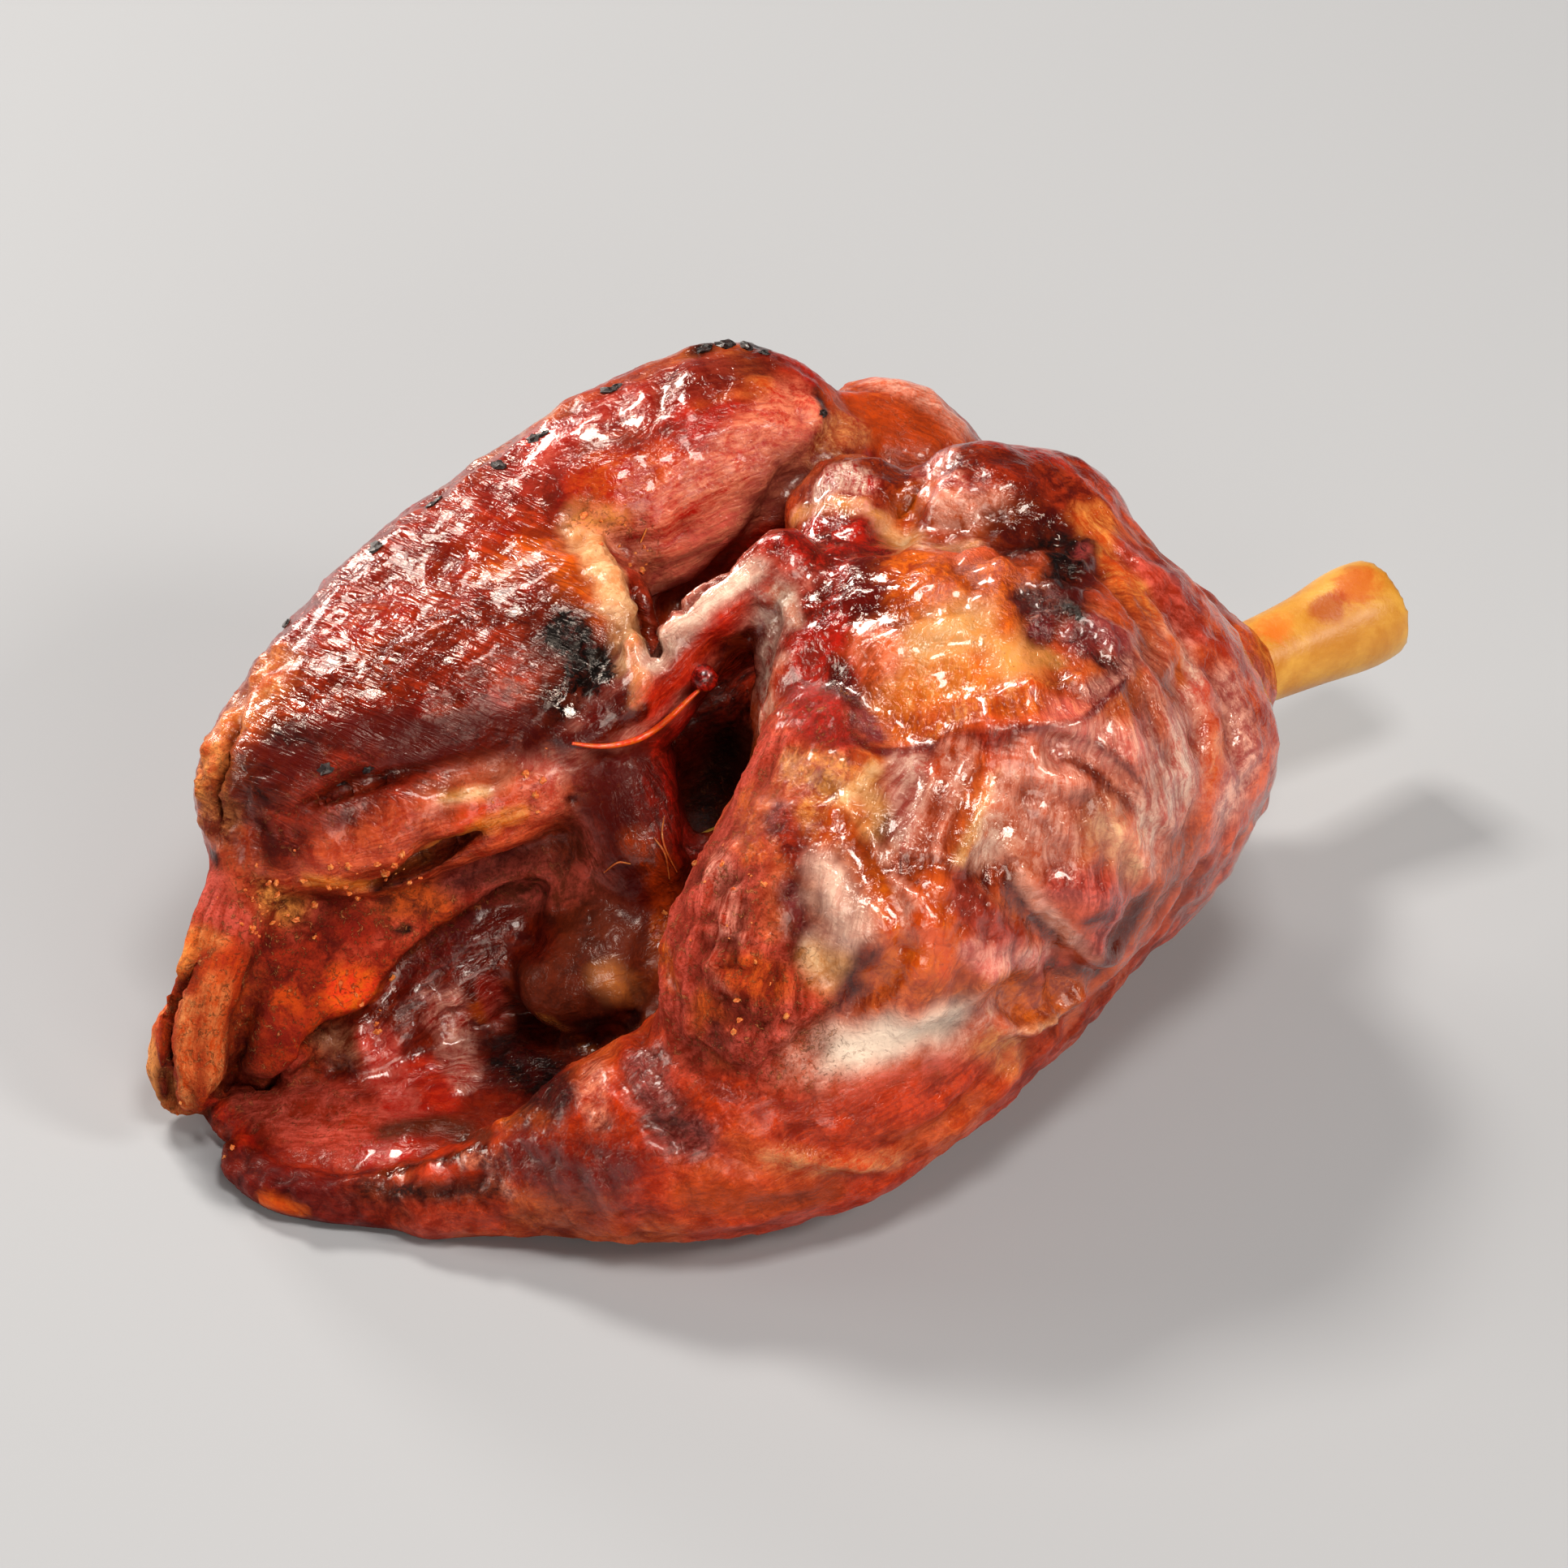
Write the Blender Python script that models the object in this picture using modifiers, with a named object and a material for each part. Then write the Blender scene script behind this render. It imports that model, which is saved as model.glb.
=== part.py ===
"""Roast ham hock: the cooked meat as one solid, and the shank bone that runs through it.

Metres, +Z up, resting on the plane Z = 0. The bone's narrow end points to +X and +Y, and the cut end
of the hock opens towards -X and -Y. All driving dimensions below are in millimetres.
"""

import bpy
import bmesh
import math
from mathutils import Matrix, Vector

MM = 0.001

# Middle of the hock's box, seen from above, in the frame that the paths below are written in.
BOX_CENTRE = Vector((2.0, 5.8, 0.0))

MEAT_VOXEL = 4.5
CUTTER_VOXEL = 3.0
SMOOTHING_ROUNDS = 3
BONE_GAP = 0.3
BEAD_SPACING = 0.4
PATH_STEPS = 6
BEAD_SEGMENTS = 20
BEAD_RINGS = 12
BONE_SIDE_RESOLUTION = 3

# Each muscle is a path of (x, y, z, radius). The bottom of the hock lies a little below Z = 0 and is
# cut flat there, which gives the spot that it rests on.
MUSCLES = {
    # the mass around the bone
    "core": [(-34, 6, 18, 14), (-14, 14, 24, 18), (12, 16, 30, 26)],
    "back": [(-64, 8, 22, 14), (-40, 20, 20, 21), (-5, 34, 25, 26), (25, 40, 27, 24), (50, 40, 26, 15)],
    "flank": [(-58, 14, 34, 11), (-38, 30, 40, 13), (-12, 46, 46, 13), (10, 50, 44, 14)],
    "underside": [(-52, 4, 12, 13), (-15, 8, 16, 18), (18, 14, 18, 20), (40, 22, 20, 18)],
    "belly": [(-8, -18, 14, 15), (14, -12, 17, 17), (34, 2, 20, 17)],
    "collar": [(30, 34, 36, 20), (50, 38, 31, 17), (62, 46, 27, 9)],
    # the round lobe on the right of the cleft
    "lobe": [(26, -2, 48, 34)],
    "lobe_shoulder": [(42, 10, 42, 27.5)],
    "lobe_crest": [(36, 26, 66, 12), (47, 15, 59, 12), (57, 6, 46, 12)],
    "lobe_cheek": [(11, -28, 45, 23)],
    "lobe_edge": [(12, 4, 62, 17)],
    "right_knob": [(30, 22, 68, 13), (36, 30, 62, 13)],
    "left_knob": [(12, 26, 66, 10.5), (14, 16, 66, 12)],
    "front_knob": [(-3, -40, 40, 14.5), (-4, -34, 50, 12)],
    "front_roll": [(41, 5, 30, 15.5), (25, -19, 26, 16.5), (3, -38, 20, 18.5), (-18, -45, 16, 15),
                   (-36, -45, 9, 9), (-50, -46, 5, 5.5)],
    # the long ridge on the left of the cleft
    "ridge_back": [(-73, 1, 42, 11), (-61, 15, 48, 14.5), (-46, 27, 53, 17), (-32, 40, 58, 16)],
    "ridge_front": [(-67, 0, 44, 12), (-48, 8, 51, 15), (-32, 15, 56, 15)],
    "ridge_top": [(-23, 41, 64, 16), (-8, 48, 67, 16), (2, 47, 66, 11)],
    "ridge_tail": [(15, 55, 57, 14.5), (24, 54, 51, 12), (45, 46, 36, 14), (58, 44, 28, 11), (63, 48, 27, 8)],
    # what shows in the cut end
    "left_wall": [(-71, -2, 32, 9), (-76, -8, 20, 7.5), (-78, -14, 10, 6.5)],
    "pale_band": [(-75, -6, 37, 7), (-58, -5, 40, 9), (-42, -3, 44, 8), (-29, 0, 46, 6)],
    "second_layer": [(-76, -12, 20, 7), (-62, -6, 24, 8), (-48, 0, 28, 8), (-34, 2, 31, 8)],
    "tongue": [(-76, -12, 20, 7), (-73, -21, 15, 6)],
    "bone_cover": [(-32, 1, 31, 8), (-21, -1, 31, 9)],
    "inner_muscle": [(-60, -12, 8, 9), (-48, -2, 11, 11), (-36, 2, 12, 10)],
    "rim": [(-77, -34, 4, 3.5), (-74, -39, 4, 3.5), (-67, -43, 4, 3.5), (-50, -45, 4, 4.5)],
    "strap": [(-4, 4, 72, 7), (-14, 2, 65, 6.5), (-25, -4, 54, 6), (-34, -4, 48, 5.5)],
    "left_flap": [(-76, -9, 33, 5), (-80, -17, 24, 5), (-85, -23, 14, 5), (-85, -24, 7, 5)],
}

# Slabs under the opening: paths as above, with their height times SLAB_FLATNESS.
SLAB_FLATNESS = 0.42
SLABS = {
    "floor": [(-66, -31, 3, 12), (-48, -32, 3, 14), (-30, -36, 5, 14)],
    "inner_floor": [(-74, -22, 3, 10), (-54, -18, 4, 14), (-32, -18, 5, 17), (-12, -22, 6, 17)],
}

# The deep slot between the strap and the round lobe.
POCKET = {
    "mouth": [(-5, 0, 72, 2.5), (-7, -3, 65, 3.5), (-10, -7, 57, 5), (-14, -10, 49, 5), (-15, -13, 42, 4)],
    "middle": [(-6, 7, 62, 3), (-9, 4, 51, 5.5), (-13, 1, 44, 6), (-15, -5, 39, 5)],
    "bottom": [(-7, 14, 51, 3), (-9, 15, 43, 5), (-13, 12, 35, 6)],
}

# The shank bone, from the rounded knuckle in the opening to the narrow end that stands out.
BONE = [(-33, -19, 21, 2.5), (-31.5, -17.5, 21.2, 6), (-27, -13.5, 21.8, 8.3), (-20, -7.5, 23, 8.6),
        (-8, 2, 25, 7.6), (8, 12, 26, 6.5), (40, 32, 26, 6.1), (62, 47, 26, 6.0), (76, 56.5, 26, 6.7),
        (84, 62, 26.5, 7.8), (88, 65, 26.5, 7.3)]

MATERIALS = {
    "roast_meat": ((0.42, 0.10, 0.04), 0.28),
    "bone": ((0.80, 0.52, 0.22), 0.42),
}


def clear_scene():
    for found in list(bpy.data.objects):
        bpy.data.objects.remove(found)


def make_collection(name, hidden=False):
    collection = bpy.data.collections.new(name)
    bpy.context.scene.collection.children.link(collection)
    collection.hide_render = hidden
    return collection


def make_material(name):
    color, roughness = MATERIALS[name]
    material = bpy.data.materials.new(name)
    material.use_nodes = True
    shader = material.node_tree.nodes["Principled BSDF"]
    shader.inputs["Base Color"].default_value = (*color, 1.0)
    shader.inputs["Roughness"].default_value = roughness
    shader.inputs["Metallic"].default_value = 0.0
    return material


def between(before, start, end, after, t):
    """One number on the smooth curve that runs from start to end."""
    return 0.5 * (
        2 * start
        + (end - before) * t
        + (2 * before - 5 * start + 4 * end - after) * t ** 2
        + (3 * start - before - 3 * end + after) * t ** 3
    )


def smooth_path(path, steps=PATH_STEPS):
    """The path's own points with steps - 1 more between each two, on a smooth curve through them."""
    first = [2 * a - b for a, b in zip(path[0], path[min(1, len(path) - 1)])]
    last = [2 * a - b for a, b in zip(path[-1], path[max(-2, -len(path))])]
    ends = [first, *path, last]
    points = []
    for i in range(1, len(ends) - 2):
        for step in range(steps):
            points.append([between(*values, step / steps) for values in zip(*ends[i - 1:i + 3])])
    points.append(list(path[-1]))
    return points


def beads(path):
    """The points of the smooth path that are far enough apart to carry a ball each."""
    kept = []
    for point in smooth_path(path):
        if not kept or math.dist(point[:3], kept[-1][:3]) > BEAD_SPACING * point[3]:
            kept.append(point)
    kept.append(path[-1])
    return kept


def muscle_mesh(name, path, flatness=1.0):
    """Balls strung along a path, which a voxel remesh later makes one body."""
    shape = bmesh.new()
    for x, y, z, radius in beads(path):
        place = Matrix.Translation((Vector((x, y, z)) - BOX_CENTRE) * MM)
        stretch = Matrix.Diagonal((1.0, 1.0, flatness, 1.0))
        bmesh.ops.create_uvsphere(shape, u_segments=BEAD_SEGMENTS, v_segments=BEAD_RINGS,
                                  radius=radius * MM, matrix=place @ stretch)
    mesh = bpy.data.meshes.new(name)
    shape.to_mesh(mesh)
    shape.free()
    return mesh


def make_body(name, meshes, collection, voxel):
    """One object from several muscles, with the remesh that joins them."""
    shape = bmesh.new()
    for mesh in meshes:
        shape.from_mesh(mesh)
        bpy.data.meshes.remove(mesh)
    body_mesh = bpy.data.meshes.new(name)
    shape.to_mesh(body_mesh)
    shape.free()
    body = bpy.data.objects.new(name, body_mesh)
    collection.objects.link(body)
    join = body.modifiers.new("join", "REMESH")
    join.mode = "VOXEL"
    join.voxel_size = voxel * MM
    join.use_smooth_shade = True
    return body


def make_bone(name, collection, extra=0.0):
    """A tube whose radius follows the bone; extra widens it all round."""
    curve = bpy.data.curves.new(name, "CURVE")
    curve.dimensions = "3D"
    curve.bevel_depth = MM
    curve.bevel_resolution = BONE_SIDE_RESOLUTION
    curve.use_fill_caps = True
    points = smooth_path(BONE, 3)
    line = curve.splines.new("POLY")
    line.points.add(len(points) - 1)
    for point, (x, y, z, radius) in zip(line.points, points):
        point.co = (*((Vector((x, y, z)) - BOX_CENTRE) * MM), 1.0)
        point.radius = radius + extra
    guide = bpy.data.objects.new(name + "_guide", curve)
    collection.objects.link(guide)
    bpy.context.view_layer.update()
    solid = guide.evaluated_get(bpy.context.evaluated_depsgraph_get())
    mesh = bpy.data.meshes.new_from_object(solid)
    shape = bmesh.new()
    shape.from_mesh(mesh)
    bmesh.ops.remove_doubles(shape, verts=shape.verts, dist=0.00001)
    bmesh.ops.recalc_face_normals(shape, faces=shape.faces)
    shape.to_mesh(mesh)
    shape.free()
    mesh.shade_smooth()
    bone = bpy.data.objects.new(name, mesh)
    bone.matrix_world = guide.matrix_world
    collection.objects.link(bone)
    bpy.data.objects.remove(guide)
    return bone


def make_table_cutter(collection):
    """A box under Z = 0 that gives the hock its flat spot."""
    bpy.ops.mesh.primitive_cube_add(size=1.0, location=(0.0, 0.0, -0.02))
    cutter = bpy.context.object
    cutter.name = "below_the_rest_plane"
    cutter.scale = (0.3, 0.3, 0.04)
    for owner in list(cutter.users_collection):
        owner.objects.unlink(cutter)
    collection.objects.link(cutter)
    return cutter


def hide(cutter):
    cutter.hide_render = True
    cutter.display_type = "WIRE"


def cut(body, cutter):
    step = body.modifiers.new(cutter.name, "BOOLEAN")
    step.operation = "DIFFERENCE"
    step.solver = "EXACT"
    step.object = cutter


def make_meat(parts, cutters):
    muscles = [muscle_mesh(name, path) for name, path in MUSCLES.items()]
    slabs = [muscle_mesh(name, path, SLAB_FLATNESS) for name, path in SLABS.items()]
    meat = make_body("hock_meat", muscles + slabs, parts, MEAT_VOXEL)
    relax = meat.modifiers.new("relax", "SMOOTH")
    relax.factor = 0.5
    relax.iterations = SMOOTHING_ROUNDS
    slots = [muscle_mesh(name, path) for name, path in POCKET.items()]
    pocket = make_body("pocket", slots, cutters, CUTTER_VOXEL)
    channel = make_bone("bone_channel", cutters, BONE_GAP)
    table = make_table_cutter(cutters)
    for cutter in (pocket, channel, table):
        hide(cutter)
        cut(meat, cutter)
    return meat


def main():
    clear_scene()
    parts = make_collection("roast_ham_hock")
    cutters = make_collection("cutters", hidden=True)
    meat = make_meat(parts, cutters)
    meat.data.materials.append(make_material("roast_meat"))
    bone = make_bone("shank_bone", parts)
    bone.data.materials.append(make_material("bone"))


main()
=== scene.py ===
# %% [markdown]
# # A roast ham hock
# The frame holds two plain solids: the meat and the shank bone that runs through it. This lesson
# replaces both with pieces that look roasted: a glossy browned ridge and a round lobe with a deep
# cleft between them, the cut end with its torn layers, char, fat and juices, and the bare bone end.

# %% Load the frame
import math
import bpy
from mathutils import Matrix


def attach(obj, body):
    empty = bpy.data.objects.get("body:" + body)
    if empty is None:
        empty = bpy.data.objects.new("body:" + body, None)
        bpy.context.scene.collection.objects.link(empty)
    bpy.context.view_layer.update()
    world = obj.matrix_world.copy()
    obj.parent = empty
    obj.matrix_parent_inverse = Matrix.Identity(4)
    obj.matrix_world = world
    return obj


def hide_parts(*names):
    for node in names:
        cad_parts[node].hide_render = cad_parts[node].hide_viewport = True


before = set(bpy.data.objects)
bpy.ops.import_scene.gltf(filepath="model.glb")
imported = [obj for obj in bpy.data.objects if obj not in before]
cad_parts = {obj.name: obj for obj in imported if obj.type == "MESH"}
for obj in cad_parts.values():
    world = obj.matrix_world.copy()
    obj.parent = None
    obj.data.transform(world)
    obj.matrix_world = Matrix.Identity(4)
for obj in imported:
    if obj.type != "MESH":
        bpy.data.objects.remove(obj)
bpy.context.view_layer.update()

from types import SimpleNamespace

import bpy
import numpy as np
from mathutils import Vector
from mathutils.bvhtree import BVHTree

MM = 0.001

# %% [markdown]
# ## The drawing board
# All places below are in millimetres on the table that the hock rests on. The frame's own middle
# is a little to one side of the point where these measures start, so the pieces are moved by
# MIDDLE when they become meshes. Details that a cook would point at are placed as on a drawing
# board that leans back at the viewing angle: across and up in mm, then pinned to the meat behind.

# %% Measures that everything shares
MIDDLE = np.array([2.0, 5.8, 0.0])
LEAN = math.radians(37.5)
BOARD_ACROSS = np.array([1.0, 0.0, 0.0])
BOARD_UP = np.array([0.0, math.sin(LEAN), math.cos(LEAN)])
# the way from the board back to the eye
BACK = np.array([0.0, -math.cos(LEAN), math.sin(LEAN)])
EYE_ACROSS, EYE_UP, EYE_DISTANCE = -12.3, 17.4, 1638.0
EYE = EYE_ACROSS * BOARD_ACROSS + EYE_UP * BOARD_UP + EYE_DISTANCE * BACK
print("the eye stands at, mm:", [round(v) for v in EYE])


def curve_through(points, steps):
    """The points with steps - 1 more between each two, on a smooth curve through them all."""
    rows = [np.array(point, float) for point in points]
    if len(rows) == 1:
        return np.array([rows[0], rows[0]])
    rows = [2 * rows[0] - rows[1], *rows, 2 * rows[-1] - rows[-2]]
    found = []
    for a, b, c, d in zip(rows, rows[1:], rows[2:], rows[3:]):
        for t in np.arange(steps) / steps:
            bend = (2 * a - 5 * b + 4 * c - d) * t ** 2 + (3 * b - 3 * c + d - a) * t ** 3
            found.append(0.5 * (2 * b + (c - a) * t + bend))
    found.append(rows[-2])
    return np.array(found)


# %% [markdown]
# ## Clay that melts together
# Meat is muscles pressed against each other, with soft creases where they meet. Balls joined by a
# voxel remesh give hard creases all the same depth, so here the muscles are tubes of varying
# radius added to a grid of distances, each with its own softness where it meets the rest. The same
# grid then takes grooves, ridges and torn edges as brush strokes, as in sculpting.

# %% A block of clay
CORNERS = [(i, j, k) for i in (0, 1) for j in (0, 1) for k in (0, 1)]
# the distance that an empty block starts with, and how far to either side a slope is measured
EMPTY, SLOPE_STEP = 40.0, 1.2
TUBE_STEPS = 8


def corner_share(t, corner):
    """How much one corner of a cell counts at places t, which run from 0 to 1 across the cell."""
    i, j, k = corner
    return np.abs(1 - i - t[:, 0]) * np.abs(1 - j - t[:, 1]) * np.abs(1 - k - t[:, 2])


class Clay:
    """A grid of distances to the skin in mm: negative inside, positive outside."""

    def __init__(self, low, high, step):
        self.step = step
        self.low = np.array(low, float)
        self.axes = [np.arange(a, b, step, dtype=np.float32) for a, b in zip(low, high)]
        self.far = np.full([len(axis) for axis in self.axes], EMPTY, np.float32)

    def near(self, points, reach):
        """The part of the grid within reach of the points, and its coordinates."""
        low, high = points[:, :3].min(0) - reach, points[:, :3].max(0) + reach
        part = []
        for axis, a, b in zip(self.axes, low, high):
            first = max(0, np.searchsorted(axis, a))
            part.append(slice(first, max(first + 1, np.searchsorted(axis, b))))
        x, y, z = (axis[cut] for axis, cut in zip(self.axes, part))
        return tuple(part), (x[:, None, None], y[None, :, None], z[None, None, :])

    def tube(self, path, blend, flatness=1.0):
        """The part of the grid round a tube, and the distances to the tube there."""
        points = curve_through(path, TUBE_STEPS)
        part, where = self.near(points, points[:, 3].max() + blend + 2 * self.step)
        return part, tube_distance(where, points, flatness)

    def add(self, path, blend, flatness=1.0):
        part, shape = self.tube(path, blend, flatness)
        self.far[part] = melt(self.far[part], shape, blend)

    def cut(self, path, blend):
        part, shape = self.tube(path, blend)
        self.far[part] = -melt(-self.far[part], shape, blend)

    def value(self, places):
        """The distance at any places, between the grid's own points."""
        spot = (places - self.low) / self.step
        top = np.array(self.far.shape) - 2
        cell = np.clip(np.floor(spot).astype(int), 0, top)
        t = np.clip(spot - cell, 0, 1)
        total = 0.0
        for corner in CORNERS:
            total = total + corner_share(t, corner) * self.far[tuple((cell + corner).T)]
        return total

    def slope(self, places):
        """The direction straight out of the skin."""
        out = np.zeros_like(places)
        for axis in range(3):
            shift = np.zeros(3)
            shift[axis] = SLOPE_STEP
            out[:, axis] = self.value(places + shift) - self.value(places - shift)
        return out / np.maximum(np.linalg.norm(out, axis=1, keepdims=True), 1e-6)


def melt(a, b, blend):
    """The nearer of two distances, rounded off where they are about the same."""
    share = np.clip(0.5 + 0.5 * (b - a) / blend, 0, 1)
    return b + (a - b) * share - blend * share * (1 - share)


def tube_distance(where, points, flatness):
    """Distance to a tube through the points, each (x, y, z, radius). Flatness presses it down."""
    best = None
    for start, end in zip(points[:-1], points[1:]):
        bx, by, bz = (end - start)[:3]
        length = bx * bx + by * by + bz * bz + 1e-9
        px, py, pz = (where[axis] - start[axis] for axis in range(3))
        pz = pz / flatness
        along = px * bx + py * by + pz * bz
        t = np.clip(along / length, 0, 1)
        off = px * px + py * py + pz * pz - 2 * t * along + t * t * length
        gap = np.sqrt(np.maximum(off, 1e-6)) - (start[3] + (end[3] - start[3]) * t)
        best = gap if best is None else np.minimum(best, gap)
    return best.astype(np.float32)


# %% [markdown]
# ## The muscles
# A hock is a bundle of muscles round the bone, and each is fatter in its middle than at its ends.
# They could be sculpted by hand, but a muscle that is a named path of (x, y, z, radius) can be moved
# or made thicker on its own, and the fibres and the colours further down follow the same paths. The
# number after a path is how softly it melts into what is already there: 8 leaves no crease at all,
# 2 leaves a sharp one.

# %% Muscles of the hock
MUSCLES = {
    # the mass around the bone
    "core": ([(-34, 6, 18, 14), (-14, 14, 24, 18), (12, 16, 30, 26)], 5),
    "back": ([(-64, 8, 22, 14), (-40, 20, 20, 21), (-5, 34, 25, 26), (25, 40, 27, 24),
              (50, 40, 26, 15)], 8),
    "flank": ([(-58, 14, 34, 11), (-38, 30, 40, 13), (-12, 46, 46, 13), (10, 50, 44, 14)], 8),
    "underside": ([(-52, 4, 12, 13), (-15, 8, 16, 18), (18, 14, 18, 20), (40, 22, 20, 18)], 8),
    "belly": ([(-8, -18, 14, 15), (14, -12, 17, 17), (34, 2, 20, 17)], 8),
    "collar": ([(30, 34, 36, 20), (50, 38, 31, 17), (62, 46, 27, 9)], 8),
    # the round lobe on the right of the cleft
    "lobe": ([(27.5, -2, 48, 32.8)], 6),
    "lobe_shoulder": ([(42, 9.5, 42, 27.5)], 6),
    "lobe_cheek": ([(12.5, -28, 45, 23)], 6),
    "lobe_edge": ([(12, 3.6, 62, 17)], 5),
    "front_knob": ([(-3, -40, 38, 14.5), (-3.5, -36.5, 45.5, 12.8), (1.5, -29, 53, 11.5),
                    (6, -20, 60, 11)], 4),
    "front_roll": ([(42.5, 4.5, 30, 17.6), (26, -20, 26, 18), (3, -38, 20, 18.5), (-18, -45, 16, 15),
                    (-36, -45, 9, 9), (-50, -46, 5, 5.5)], 6),
    "lobe_crest": ([(36, 26, 66, 12), (47, 15, 59, 12), (57, 6, 46, 12)], 5),
    "right_knob": ([(28, 24, 70.5, 12.5), (37, 30, 64, 12.5)], 2.5),
    "left_knob": ([(10.5, 27, 69, 10.2), (11, 17, 67, 11)], 2.5),
    # the long ridge on the left of the cleft
    "ridge_back": ([(-73, 1, 42, 11), (-61, 15, 48, 14.5), (-46, 27, 53, 17), (-32, 40, 58, 16)], 5),
    "ridge_front": ([(-67, 0, 44, 12), (-48, 8, 51, 15), (-32, 15, 56, 15)], 5),
    "ridge_top": ([(-23, 41, 64, 16), (-8.5, 47.5, 67, 16), (2, 47, 66, 11)], 3),
    "ridge_tail": ([(15, 55, 57, 14.5), (24, 54, 51, 12), (45, 46, 36, 14), (58, 44, 28, 11),
                    (63, 48, 27, 8)], 5),
    "left_wall": ([(-71, -2, 32, 9), (-76, -8, 20, 7.5), (-78, -14, 10, 6.5)], 4),
}

# %% [markdown]
# ## The cut end
# Where the hock was cut from the leg, the meat is hollow and its layers show: a pale band, a darker
# layer under it, sheets that sag to the table, and brown skin round the knuckle. The hollow is dug
# out first and the layers are laid in after it, as they lie on a real one, because a layer that is
# cut free from a solid has no edge of its own. A last number presses a tube flat, for what lies down.

# %% Layers of the cut end
HOLLOW = [(-58, -22, 20, 9), (-48, -14, 24, 10), (-37, -12, 27, 10)]

LAYERS = {
    "pale_band": ([(-75, -6, 37, 7), (-58.5, -5, 39.5, 9), (-42, -3, 44, 8), (-29, 0, 46, 6)], 2),
    "second_layer": ([(-76, -12, 20, 7), (-62, -6, 24, 8), (-48, 0, 28, 8), (-34, 2, 31, 8)], 2.5),
    "sheet": ([(-74, -18, 15.5, 7.5), (-67, -11.5, 18, 8.5), (-58.5, -6.5, 21, 8.5),
               (-48, -1.5, 24.5, 8)], 3),
    "tongue": ([(-76, -12, 20, 7), (-73, -21, 15, 6)], 3),
    "membrane": ([(-32, 1, 31, 8), (-21, -1, 31, 9)], 3),
    "floor": ([(-66, -31, 2.5, 12), (-48, -32, 3, 14), (-30, -36, 5, 14)], 3, 0.40),
    "inner_floor": ([(-74, -22, 3, 9), (-54, -18, 4, 13), (-32, -18, 4, 16),
                     (-12, -22, 6, 16)], 3, 0.5),
    "rim": ([(-77, -34, 3.5, 3.5), (-74, -39, 3.5, 3.5), (-67, -43, 3.5, 3.5), (-50, -45, 4, 4.5)], 2),
    "inner_muscle": ([(-60, -14, 9, 9), (-48, -5, 15, 11), (-36, 0, 18.5, 11)], 3),
    "knuckle_skin": ([(-33, -19, 21, 3.5), (-31, -17, 21.2, 7), (-26, -12.5, 22, 9.4),
                      (-19, -6.5, 23.3, 9.8), (-10, 0, 25, 9)], 6),
    "shank_veil": ([(-30, -1, 31, 6), (-28, -9, 27, 6.3), (-25.5, -16, 22, 6.3)], 3),
    "pocket_wall": ([(-28, 3, 50, 7), (-24, 1.3, 44.4, 8.5), (-20, -4.5, 37.5, 9)], 4),
    "strap_face": ([(-5.5, 9.8, 67, 4.5), (-12, 6.7, 60.4, 5), (-20, 3, 53.2, 5)], 2),
    "strap": ([(0, 8, 75, 5.5), (-11, 5.7, 68, 4.5), (-19, 2, 61.6, 5), (-27, -1, 54.8, 5.5),
               (-36, -1.5, 49, 5.5)], 1.5),
}

# %% [markdown]
# ## The pocket and the flap
# The cleft between ridge and lobe opens into a deep pocket behind a strap of meat, and at the far
# left a flap of two layers hangs down. The pocket is cut after all the rest, so that nothing fills
# it again, and the flap is added last, so that it keeps its own edges.

# %% Pocket and flap
POCKET = {
    "mouth": ([(-4.5, 0, 72, 2.5), (-6.3, -3, 65, 3.6), (-8.3, -7, 57, 4.6), (-10, -10, 49, 4.6),
               (-12, -13, 42, 3.4)], 1.5),
    "middle": ([(-5.5, 4.5, 60.5, 2.4), (-8, 2, 52, 4.4), (-10, 0, 45, 5.6), (-12, -5, 39, 4.8)], 2.5),
    "bottom": ([(-6.5, 8, 54, 2.4), (-8, 7.5, 48, 4.2), (-10, 7, 41, 5.6), (-11, 6, 35, 5.4),
                (-12.5, 3, 31, 4.4)], 3),
}

FLAPS = {
    "outer_flap": ([(-75.5, -9, 33, 4.5), (-79, -15, 23, 4.5), (-85.5, -20, 13, 4.5),
                    (-86, -21, 6, 4.5)], 1.5),
    "inner_flap": ([(-78, -10, 33, 4.5), (-81, -19, 25, 5), (-84, -25, 17, 5), (-83, -29, 12, 4)], 1.2),
}

# %% Put the clay together
HOLLOW_BLEND = 3
FINE_STEP = 0.96


def build_clay(step):
    clay = Clay((-98, -68, -6), (82, 80, 96), step)
    for path, blend in MUSCLES.values():
        clay.add(path, blend)
    clay.cut(HOLLOW, HOLLOW_BLEND)
    for path, blend, *flatness in LAYERS.values():
        clay.add(path, blend, *flatness)
    for path, blend in POCKET.values():
        clay.cut(path, blend)
    for path, blend in FLAPS.values():
        clay.add(path, blend)
    return clay


clay = build_clay(FINE_STEP)
print("clay grid:", clay.far.shape)

# %% [markdown]
# ## Pins and brushes
# A pin is pushed through the drawing board, away from the eye, until it meets the meat. Strokes
# between pins press a groove, raise a ridge, or lift one side of a line over the other, as the
# edge of a torn layer does. They change the distances near the stroke, so they are real shape. A
# bump in the material would be less work, but a torn edge needs an outline and a shadow.

# %% Pins
MARCH = np.arange(1500.0, 1790.0, 1.0)
ON_TABLE = 0.3
STROKE_STEPS = 4
SETTLE_ROUNDS, SETTLE_REACH = 8, 3


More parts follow.
